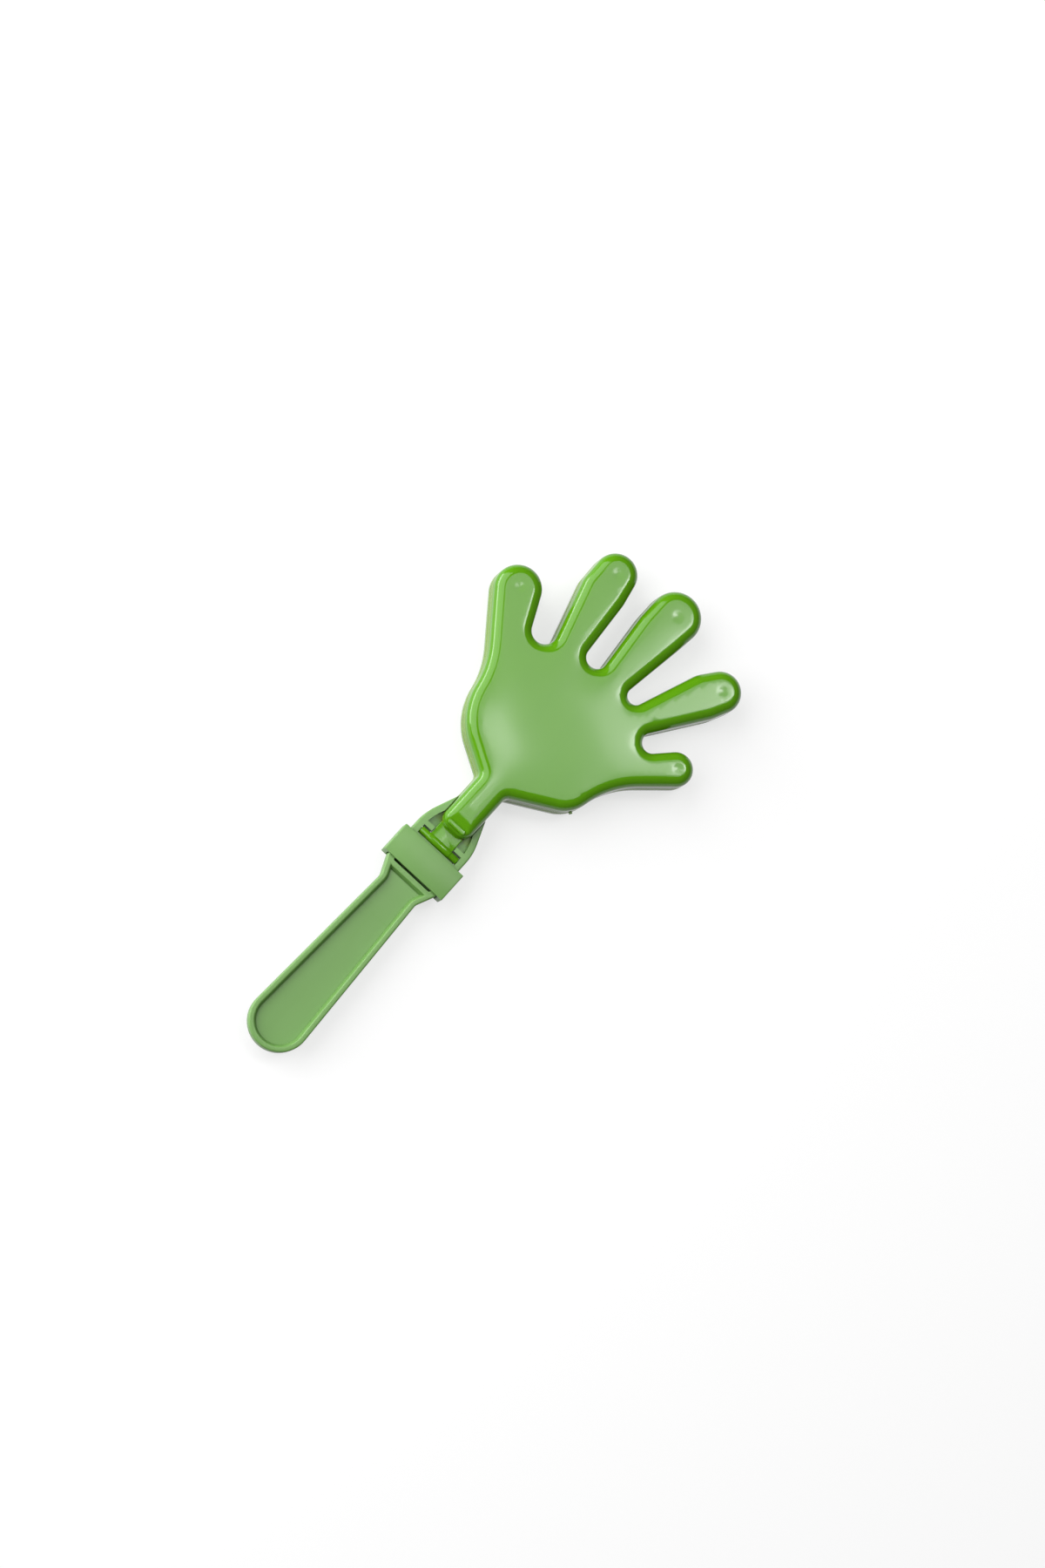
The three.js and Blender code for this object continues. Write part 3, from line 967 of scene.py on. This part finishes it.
    def inside(self, near: float, far: float, bottom: float, top: float) -> Blank:
        """A cutter for the frame's inside between two places along it.

        Args:
            near: The place nearer the grip's end.
            far: The place nearer the fingers.
            bottom: Its lowest height.
            top: Its highest height.

        Returns:
            The cutter.
        """
        cutter = self.outline().grown(-self.frame_wall).slab("cutter", bottom, top)
        with cutter.open():
            for place, keeps_far in ((near, True), (far, False)):
                pick_all()
                bpy.ops.mesh.bisect(
                    plane_co=(0, place, 0),
                    plane_no=(0, 1, 0),
                    use_fill=True,
                    clear_inner=keeps_far,
                    clear_outer=not keeps_far,
                )
            cutter.face_outwards()
        return cutter

    def tab_slot(self) -> Blank:
        """The cutter for the slot in which a hand's tab swings."""
        half = self.hinge.roll_length / 2 + self.hinge.play
        low = (-half, self.pocket_end, -self.cutter_reach)
        high = (half, self.ledge_top, self.cutter_reach)
        slot = Blank.plane("slot")
        with slot.open():
            slot.to_box(low, high)
        return slot

    def socket(self, way: float) -> Blank:
        """The cutter for the blind sockets of one pin's nibs.

        Args:
            way: 1 for the upper pin, -1 for the lower one.

        Returns:
            The cutter.
        """
        hinge = self.hinge
        radius = hinge.nib_radius + hinge.socket_play
        length = hinge.pocket_width + 2 * (hinge.nib_length + hinge.play)
        place = (0, hinge.pin_y, way * hinge.pin_height)
        return Blank.rod("socket", hinge.socket_sides, radius, length, place)

    def middle_hand(self) -> Blank:
        """The thin middle hand, with a rim on both faces round a sunk web."""
        half = self.plate_thickness / 2
        foot = half - self.plate_edge
        web = self.plate_web / 2
        wall_inset = self.plate_rim + self.plate_lean
        rings = (
            *quarter_round(self.plate_edge, 0.0, half, self.plate_segments),
            (self.plate_rim - self.plate_bevel_width, half),
            (self.plate_rim, half - self.plate_bevel_height),
            (wall_inset, web + self.plate_foot),
            (wall_inset + self.plate_foot, web),
        )
        plate = self.hand.outline().slab("middle_hand", -foot, foot)
        with plate.open():
            for way in (1, -1):
                plate.pick_level(way * foot, way)
                plate.step_in(rings)
        return plate

    def gate_stub(self) -> Blank:
        """The short stub of the mould's gate on the rim of the middle hand's heel."""
        heel = self.hand.thumb_heel
        root = self.plate_rim / 2
        stub = Blank.plane("gate_stub")
        with stub.open():
            stub.to_box(
                (heel.radius - root, -self.gate_width / 2, -self.gate_thickness / 2),
                (heel.radius + self.gate_length, self.gate_width / 2, self.gate_thickness / 2),
            )
            stub.round_edges(
                self.gate_rounding, lambda edge: all(corner.co.x > heel.radius for corner in edge.verts)
            )
            pick_all()
            bpy.ops.transform.rotate(
                value=-math.radians(self.gate_degrees),
                orient_axis="Z",
                orient_type="GLOBAL",
                center_override=(0, 0, 0),
            )
            bpy.ops.transform.translate(value=(heel.x, heel.y, 0))
        return stub


@dataclass
class Collar:
    """The plain rectangular sleeve that slides over the handle's frame."""

    handle: Handle = field(default_factory=Handle)
    side_play: float = 0.5
    face_play: float = 0.3
    side_wall: float = 2.4
    face_wall: float = 1.5
    length: float = 14.6
    top: float = -87.7
    corner: float = 0.6
    corner_segments: int = 4
    mouth_break: float = 0.25

    def build(self, name: str) -> Blank:
        """Models the collar.

        Args:
            name: The name of the piece.

        Returns:
            The finished blank.
        """
        bore_x = self.handle.frame_width / 2 + self.side_play
        bore_z = self.handle.thickness / 2 + self.face_play
        x = bore_x + self.side_wall
        z = bore_z + self.face_wall
        bottom = self.top - self.length
        sleeve = Blank.plane(name)
        with sleeve.open():
            sleeve.to_box((-x, bottom, -z), (x, self.top, z))
            sleeve.round_edges(self.corner, runs_along, self.corner_segments)
        bore = Blank.plane("bore")
        with bore.open():
            bore.to_box((-bore_x, bottom - self.length, -bore_z), (bore_x, self.top + self.length, bore_z))
        sleeve.combine(bore, Join.CUT)
        sleeve.break_edges(self.mouth_break)
        return sleeve


@dataclass(frozen=True)
class Coat:
    """The gloss on a piece's faces and rounded edges. It fades out at the side walls, which are duller."""

    ior: float
    roughness: float


@dataclass(frozen=True)
class Plastic:
    """A moulded plastic finish. Colours are as they look on screen, and lengths are in metres."""

    name: str
    colour: tuple[int, int, int]
    deep_colour: tuple[int, int, int]
    # The colour below is painted light: an olive tint laid near the middle plane for the bounced light and
    # shade in the gaps between the parts.
    painted_gap_tint: tuple[int, int, int]
    roughness: float
    roughness_spread: float
    mottle: float
    grain_size: float
    grain_height: float
    scuffs: float
    specular: float
    painted_tint_reach: float
    wall_reach: float = 0.0
    coat: Coat | None = None

    def material(self, skin: Tree) -> bpy.types.Material:
        """Makes the finish.

        Args:
            skin: The shared node group for moulded plastic.

        Returns:
            The material.
        """
        material = bpy.data.materials.new(self.name)
        material.use_nodes = True
        nodes, links = material.node_tree.nodes, material.node_tree.links
        group = nodes.new("ShaderNodeGroup")
        group.node_tree = skin
        values = {
            "Colour": linear(self.colour),
            "Deep Colour": linear(self.deep_colour),
            "Painted Gap Tint": linear(self.painted_gap_tint),
            "Base Roughness": self.roughness,
            "Roughness Spread": self.roughness_spread,
            "Mottle": self.mottle,
            "Grain Scale": 1 / self.grain_size,
            "Scuffs": self.scuffs,
            "Wall Reach": self.wall_reach,
            "Painted Tint Reach": self.painted_tint_reach,
        }
        for socket, value in values.items():
            group.inputs[socket].default_value = value
        place = nodes.new("ShaderNodeTexCoord")
        bump = nodes.new("ShaderNodeBump")
        bump.inputs["Strength"].default_value = 1.0
        bump.inputs["Distance"].default_value = self.grain_height
        shader = nodes["Principled BSDF"]
        shader.inputs["Specular IOR Level"].default_value = self.specular
        links.new(place.outputs["Object"], group.inputs["Place"])
        links.new(group.outputs["Height"], bump.inputs["Height"])
        links.new(group.outputs["Colour"], shader.inputs["Base Color"])
        links.new(group.outputs["Roughness"], shader.inputs["Roughness"])
        links.new(bump.outputs["Normal"], shader.inputs["Normal"])
        if self.coat:
            shader.inputs["Coat IOR"].default_value = self.coat.ior
            shader.inputs["Coat Roughness"].default_value = self.coat.roughness
            links.new(group.outputs["Polish"], shader.inputs["Coat Weight"])
        return material


def linear(colour: tuple[int, int, int]) -> tuple[float, float, float, float]:
    """A screen colour in Blender's linear values.

    Args:
        colour: Red, green and blue from 0 to 255.

    Returns:
        Linear red, green, blue and a full alpha.
    """
    shares = (value / 255 for value in colour)
    red, green, blue = (s / 12.92 if s <= 0.04045 else ((s + 0.055) / 1.055) ** 2.4 for s in shares)
    return red, green, blue, 1.0


class Wiring:
    """Adds nodes to a tree and links them."""

    def __init__(self, tree: Tree) -> None:
        """Takes up a tree."""
        self.tree = tree

    def link(self, value: Socket | float, socket: Socket) -> None:
        """Links a value to a socket, or writes a plain number into it.

        Args:
            value: A socket or a plain number.
            socket: Where it goes.
        """
        if isinstance(value, (int, float)):
            socket.default_value = value
        else:
            self.tree.links.new(value, socket)

    def math(self, operation: str, *values: Socket | float) -> Socket:
        """Adds a Math node.

        Args:
            operation: Blender's name for what it does.
            values: Sockets or plain numbers.

        Returns:
            Its value.
        """
        node = self.tree.nodes.new("ShaderNodeMath")
        node.operation = operation
        for socket, value in zip(node.inputs, values):
            self.link(value, socket)
        return node.outputs["Value"]

    def noise(
        self,
        place: Socket,
        scale: Socket | float,
        stretch: Point = (1.0, 1.0, 1.0),
        turn: float = 0.0,
        detail: float = 2.0,
    ) -> Socket:
        """Adds a noise that may be stretched and turned.

        Args:
            place: The object coordinates.
            scale: The noise's scale, in lumps per metre.
            stretch: How much finer it is along each axis.
            turn: Its turn about the Z axis, in radians.
            detail: Its octaves.

        Returns:
            The noise's value.
        """
        mapping = self.tree.nodes.new("ShaderNodeMapping")
        mapping.inputs["Scale"].default_value = stretch
        mapping.inputs["Rotation"].default_value = (0.0, 0.0, turn)
        noise = self.tree.nodes.new("ShaderNodeTexNoise")
        noise.inputs["Detail"].default_value = detail
        self.link(scale, noise.inputs["Scale"])
        self.link(place, mapping.inputs["Vector"])
        self.link(mapping.outputs["Vector"], noise.inputs["Vector"])
        return noise.outputs["Fac"]

    def blend(self, share: Socket, low: Socket, high: Socket) -> Socket:
        """Adds a colour mix.

        Args:
            share: The share of the second colour.
            low: The first colour.
            high: The second colour.

        Returns:
            The mixed colour.
        """
        node = self.tree.nodes.new("ShaderNodeMix")
        node.data_type = "RGBA"
        self.link(share, node.inputs[0])
        self.link(low, node.inputs[6])
        self.link(high, node.inputs[7])
        return node.outputs[2]

    def span(self, value: Socket, limits: Span) -> Socket:
        """Spreads the part of a value between two limits over 0 to 1, smoothly.

        Args:
            value: The value.
            limits: What becomes 0, and what becomes 1.

        Returns:
            The spread value.
        """
        node = self.tree.nodes.new("ShaderNodeMapRange")
        node.interpolation_type = "SMOOTHSTEP"
        node.inputs["From Min"].default_value = limits[0]
        node.inputs["From Max"].default_value = limits[1]
        self.link(value, node.inputs["Value"])
        return node.outputs["Result"]


@dataclass(frozen=True)
class MouldedSkin:
    """Builds the node group for moulded plastic: mottled colour, fine grain, flow marks and light scuffs.

    Lengths are in metres. Reaches are heights off the middle plane. Past the neck's end, at the tab and the
    pin, nothing counts as near the middle plane. Near the middle plane the colour takes a painted olive
    tint, which stands in for the bounced light and shade in the gaps between the parts.
    """

    middle_height: float
    neck_end: float
    name: str = "moulded_skin"
    mottle_scale: float = 26.0
    mottle_span: Span = (0.3, 0.7)
    flow_scale: float = 90.0
    flow_stretch: Point = (1.0, 0.12, 1.0)
    flow_span: Span = (0.35, 0.75)
    scuff_scale: float = 260.0
    scuff_ways: tuple[tuple[Point, float], ...] = (((3.0, 0.1, 1.0), 0.5), ((0.12, 3.4, 1.0), 0.35))
    scuff_span: Span = (0.66, 0.74)
    scuff_roughness: float = 0.18
    scuff_depth: float = 0.4
    grain_detail: float = 3.0
    neck_fade: float = 0.001
    hinge_offset: float = 0.02
    # Where and how strongly the painted gap tint (bounced light and shade near the middle plane) is laid
    # on.
    painted_tint_span: Span = (1.0, 0.3)
    painted_tint_share: float = 0.75
    wall_fade: float = 0.0015

    def group(self) -> Tree:
        """Makes the group.

        Returns:
            The node group.
        """
        tree = bpy.data.node_groups.new(self.name, "ShaderNodeTree")
        colours = ("Colour", "Deep Colour", "Painted Gap Tint")
        amounts = ("Base Roughness", "Roughness Spread", "Mottle", "Scuffs", "Grain Scale")
        reaches = ("Wall Reach", "Painted Tint Reach")
        sockets = (
            ("Place", "INPUT", "NodeSocketVector"),
            *((name, "INPUT", "NodeSocketColor") for name in colours),
            *((name, "INPUT", "NodeSocketFloat") for name in (*amounts, *reaches)),
            ("Colour", "OUTPUT", "NodeSocketColor"),
            *((name, "OUTPUT", "NodeSocketFloat") for name in ("Roughness", "Height", "Polish")),
        )
        for name, way, kind in sockets:
            tree.interface.new_socket(name=name, in_out=way, socket_type=kind)
        wiring = Wiring(tree)
        given = tree.nodes.new("NodeGroupInput").outputs
        result = tree.nodes.new("NodeGroupOutput").inputs
        offset = self.offset(wiring, given["Place"])
        scuffed = self.scuffed(wiring, given["Place"], given["Scuffs"])
        wiring.link(self.colour(wiring, given, offset), result["Colour"])
        wiring.link(self.roughness(wiring, given, scuffed), result["Roughness"])
        grain = wiring.noise(given["Place"], given["Grain Scale"], detail=self.grain_detail)
        wiring.link(wiring.math("MULTIPLY_ADD", scuffed, -self.scuff_depth, grain), result["Height"])
        above = wiring.math("SUBTRACT", offset, given["Wall Reach"])
        wiring.link(wiring.span(above, (0.0, self.wall_fade)), result["Polish"])
        return tree

    def offset(self, wiring: Wiring, place: Socket) -> Socket:
        """Adds nodes for the height off the middle plane, which is made large past the neck's end.

        Args:
            wiring: The group's wiring.
            place: The object coordinates.

        Returns:
            The height.
        """
        split = wiring.tree.nodes.new("ShaderNodeSeparateXYZ")
        wiring.link(place, split.inputs["Vector"])
        height = wiring.math("ABSOLUTE", wiring.math("SUBTRACT", split.outputs["Z"], self.middle_height))
        hinge = wiring.span(split.outputs["Y"], (self.neck_end + self.neck_fade, self.neck_end))
        return wiring.math("MULTIPLY_ADD", hinge, self.hinge_offset, height)

    def scuffed(self, wiring: Wiring, place: Socket, amount: Socket) -> Socket:
        """Adds nodes for scuffs in two directions.

        Args:
            wiring: The group's wiring.
            place: The object coordinates.
            amount: How strong the scuffs are.

        Returns:
            The scuffs' strength at each point.
        """
        scuffs = [
            wiring.span(wiring.noise(place, self.scuff_scale, stretch, turn), self.scuff_span)
            for stretch, turn in self.scuff_ways
        ]
        return wiring.math("MULTIPLY", wiring.math("MAXIMUM", *scuffs), amount)

    def colour(self, wiring: Wiring, given: Sockets, offset: Socket) -> Socket:
        """Adds nodes for the colour: soft mottling and flow marks, and a painted olive tint near the middle
        plane that stands in for the bounced light and shade in the gaps between the parts.

        Args:
            wiring: The group's wiring.
            given: The group's inputs.
            offset: The height off the middle plane.

        Returns:
            The colour.
        """
        place = given["Place"]
        cloud = wiring.span(wiring.noise(place, self.mottle_scale), self.mottle_span)
        flow = wiring.span(wiring.noise(place, self.flow_scale, self.flow_stretch), self.flow_span)
        both = wiring.math("MULTIPLY_ADD", flow, 0.5, wiring.math("MULTIPLY", cloud, 0.5))
        share = wiring.math("MULTIPLY", both, given["Mottle"])
        body = wiring.blend(share, given["Colour"], given["Deep Colour"])
        # Painted light: an olive tint near the middle plane, standing in for the bounced light and shade in
        # the gaps between the parts.
        near = wiring.span(wiring.math("DIVIDE", offset, given["Painted Tint Reach"]), self.painted_tint_span)
        return wiring.blend(wiring.math("MULTIPLY", near, self.painted_tint_share), body, given["Painted Gap Tint"])

    def roughness(self, wiring: Wiring, given: Sockets, scuffed: Socket) -> Socket:
        """Adds nodes for the roughness: clouded, and rougher at scuffs.

        Args:
            wiring: The group's wiring.
            given: The group's inputs.
            scuffed: The scuffs' strength.

        Returns:
            The roughness.
        """
        cloud = wiring.math("SUBTRACT", wiring.noise(given["Place"], self.mottle_scale * 2), 0.5)
        clouded = wiring.math("MULTIPLY_ADD", cloud, given["Roughness Spread"], given["Base Roughness"])
        return wiring.math("MULTIPLY_ADD", scuffed, self.scuff_roughness, clouded)


GLOSSY_GREEN = Plastic(
    name="glossy_green_plastic",
    colour=(80, 138, 9),
    deep_colour=(74, 132, 6),
    # Painted light: olive tint for the bounced light and shade in the gaps between the hands, near the
    # middle plane.
    painted_gap_tint=(120, 142, 12),
    painted_tint_reach=0.0062,
    wall_reach=0.0058,
    roughness=0.1,
    roughness_spread=0.03,
    mottle=0.35,
    grain_size=0.0011,
    grain_height=0.000004,
    scuffs=0.25,
    specular=0.06,
    coat=Coat(ior=1.39, roughness=0.12),
)
SATIN_GREEN = Plastic(
    name="satin_green_plastic",
    colour=(103, 146, 76),
    deep_colour=(93, 136, 64),
    # Painted shade: an olive tint on the faces near the middle plane, in the grip's hollows and on the
    # middle hand.
    painted_gap_tint=(106, 140, 54),
    painted_tint_reach=0.0035,
    roughness=0.42,
    roughness_spread=0.1,
    mottle=0.4,
    grain_size=0.0007,
    grain_height=0.000012,
    scuffs=0.6,
    specular=0.45,
)


@dataclass
class Clapper:
    """The whole clapper on its frame: three sub-assemblies, dressed and set on their bodies."""

    front: HollowHand = field(default_factory=HollowHand)
    grip: Handle = field(default_factory=Handle)
    sleeve: Collar = field(default_factory=Collar)

    def middle_plane(self) -> float:
        """The middle plane's height in millimetres, when the clapper lies on its lower hand."""
        return self.front.face_height

    def build(self) -> None:
        """Builds every piece and hands it to the frame."""
        skin = MouldedSkin(self.middle_plane() * MILLIMETRE, self.front.hand.neck_end * MILLIMETRE).group()
        glossy = GLOSSY_GREEN.material(skin)
        satin = SATIN_GREEN.material(skin)
        front = self.front.build("front_hand_shell")
        rear = front.copy_mirrored("rear_hand_shell")
        self.dress(front, glossy, "front_hand")
        self.dress(rear, glossy, "rear_hand")
        self.dress(self.grip.build("handle_moulding"), satin, "handle")
        self.dress(self.sleeve.build("collar_sleeve"), satin, "collar")

    def dress(self, blank: Blank, finish: bpy.types.Material, node: str) -> None:
        """Finishes a blank and puts it in the place of its CAD node.

        Args:
            blank: The blank.
            finish: Its material.
            node: The CAD node that it stands for, and the body that it rides on.
        """
        piece = blank.to_metres(self.middle_plane())
        piece.data.materials.clear()
        piece.data.materials.append(finish)
        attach(piece, node)
        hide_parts(node)
        LOG.info("%s: %d faces", piece.name, len(piece.data.polygons))


@dataclass(frozen=True)
class Softbox:
    """A rectangular lamp that looks at a point."""

    name: str
    place: Point
    width: float
    height: float
    power: float

    def build(self, target: Point) -> None:
        """Hangs the lamp.

        Args:
            target: The point that it looks at.
        """
        bpy.ops.object.light_add(type="AREA", location=self.place)
        lamp = bpy.context.object
        lamp.name = self.name
        lamp.data.shape = "RECTANGLE"
        lamp.data.size = self.width
        lamp.data.size_y = self.height
        lamp.data.energy = self.power
        lamp.rotation_euler = (Vector(target) - Vector(self.place)).to_track_quat("-Z", "Y").to_euler()


@dataclass(frozen=True)
class Studio:
    """A pale floor, a dim surround, soft lamps and the camera."""

    floor_size: float = 6.0
    floor_height: float = -0.0002
    floor_colour: float = 0.32
    floor_roughness: float = 0.9
    floor_lift: float = 0.66
    world_strength: float = 0.1
    lamp_target: Point = (0.0, 0.0, 0.02)
    lamps: tuple[Softbox, ...] = (
        Softbox("overhead_softbox", (0.07, 0.3, 1.2), 0.62, 0.62, 4.2),
        Softbox("left_softbox", (-0.78, -0.21, 0.75), 1.5, 1.2, 20.0),
        Softbox("left_strip", (-1.1, -0.25, 0.15), 1.1, 0.28, 10.0),
        Softbox("right_window", (0.27, 0.44, 1.2), 0.13, 0.2, 0.7),
        Softbox("thumb_window", (0.23, 0.42, 1.2), 0.2, 0.32, 1.0),
        Softbox("palm_window", (0.02, 0.19, 1.2), 0.09, 0.07, 0.16),
    )
    aim: Point = (0.0, 0.0, 0.0201)
    towards_camera: Point = (-0.0582, -0.2348, 0.9703)
    distance: float = 1.8
    lens: float = 92.8
    roll_degrees: float = 42.1
    shift_right: float = 0.0194
    shift_up: float = 0.0349

    def build(self) -> None:
        """Sets up the whole studio."""
        self.floor()
        self.world()
        for lamp in self.lamps:
            lamp.build(self.lamp_target)
        self.camera()

    def seen_share(self, wiring: Wiring) -> Socket:
        """Adds nodes that give 1 where a camera or glossy ray sees the floor, and 0 where it only lights.

        Args:
            wiring: The wiring of the floor's material.

        Returns:
            The share.
        """
        rays = wiring.tree.nodes.new("ShaderNodeLightPath").outputs
        reflected = wiring.math("MAXIMUM", rays["Is Glossy Ray"], rays["Is Transmission Ray"])
        return wiring.math("MAXIMUM", rays["Is Camera Ray"], reflected)

    def floor(self) -> None:
        """Lays the floor, which looks nearly white and keeps the clapper's shadow."""
        bpy.ops.mesh.primitive_plane_add(size=self.floor_size, location=(0, 0, self.floor_height))
        floor = bpy.context.object
        floor.name = "floor"
        material = bpy.data.materials.new("pale_floor")
        material.use_nodes = True
        nodes = material.node_tree.nodes
        wiring = Wiring(material.node_tree)
        shader = nodes["Principled BSDF"]
        shader.inputs["Base Color"].default_value = (*(self.floor_colour,) * 3, 1.0)
        shader.inputs["Roughness"].default_value = self.floor_roughness
        shader.inputs["Specular IOR Level"].default_value = 0.0
        glow = nodes.new("ShaderNodeEmission")
        strength = wiring.math("MULTIPLY", self.seen_share(wiring), self.floor_lift)
        wiring.link(strength, glow.inputs["Strength"])
        both = nodes.new("ShaderNodeAddShader")
        wiring.link(shader.outputs["BSDF"], both.inputs[0])
        wiring.link(glow.outputs["Emission"], both.inputs[1])
        wiring.link(both.outputs["Shader"], nodes["Material Output"].inputs["Surface"])
        floor.data.materials.append(material)

    def world(self) -> None:
        """Makes the dim surround beyond the floor."""
        world = bpy.data.worlds.new("studio")
        bpy.context.scene.world = world
        world.use_nodes = True
        background = world.node_tree.nodes["Background"]
        background.inputs["Color"].default_value = (1.0, 1.0, 1.0, 1.0)
        background.inputs["Strength"].default_value = self.world_strength

    def camera(self) -> None:
        """Sets the camera at the photograph's angle."""
        eye = Vector(self.aim) + self.distance * Vector(self.towards_camera)
        right, up, back = self.axes(Vector(self.towards_camera))
        target = Vector(self.aim) - self.shift_right * right - self.shift_up * up
        right, up, back = self.axes(eye - target)
        data = bpy.data.cameras.new("camera")
        data.lens = self.lens
        camera = bpy.data.objects.new("camera", data)
        bpy.context.scene.collection.objects.link(camera)
        turn = Matrix((right, up, back)).transposed().to_4x4()
        camera.matrix_world = Matrix.Translation(eye) @ turn
        bpy.context.scene.camera = camera

    def axes(self, back: Vector) -> tuple[Vector, Vector, Vector]:
        """The camera's axes when it looks along a direction.

        Args:
            back: From what it looks at towards the camera.

        Returns:
            Its right, its up and its back, each of length one.
        """
        back = back.normalized()
        level_up = (Vector((0, 1, 0)) - back * back.y).normalized()
        level_right = level_up.cross(back)
        roll = math.radians(self.roll_degrees)
        right = math.cos(roll) * level_right + math.sin(roll) * level_up
        up = math.cos(roll) * level_up - math.sin(roll) * level_right
        return right, up, back


def clear_bench() -> None:
    """Removes what a new Blender file holds beside the frame."""
    kept = {*frame["nodes"].values(), *frame["bodies"].values()}
    for leftover in set(bpy.context.scene.objects) - kept:
        bpy.data.objects.remove(leftover)


def main() -> None:
    """Builds the clapper and its studio."""
    logging.basicConfig(level=logging.INFO, format="%(name)s: %(message)s")
    clear_bench()
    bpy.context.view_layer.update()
    Clapper().build()
    Studio().build()
    bpy.context.scene.view_settings.view_transform = "Standard"
    bpy.context.view_layer.update()


if __name__ == "__main__":
    main()
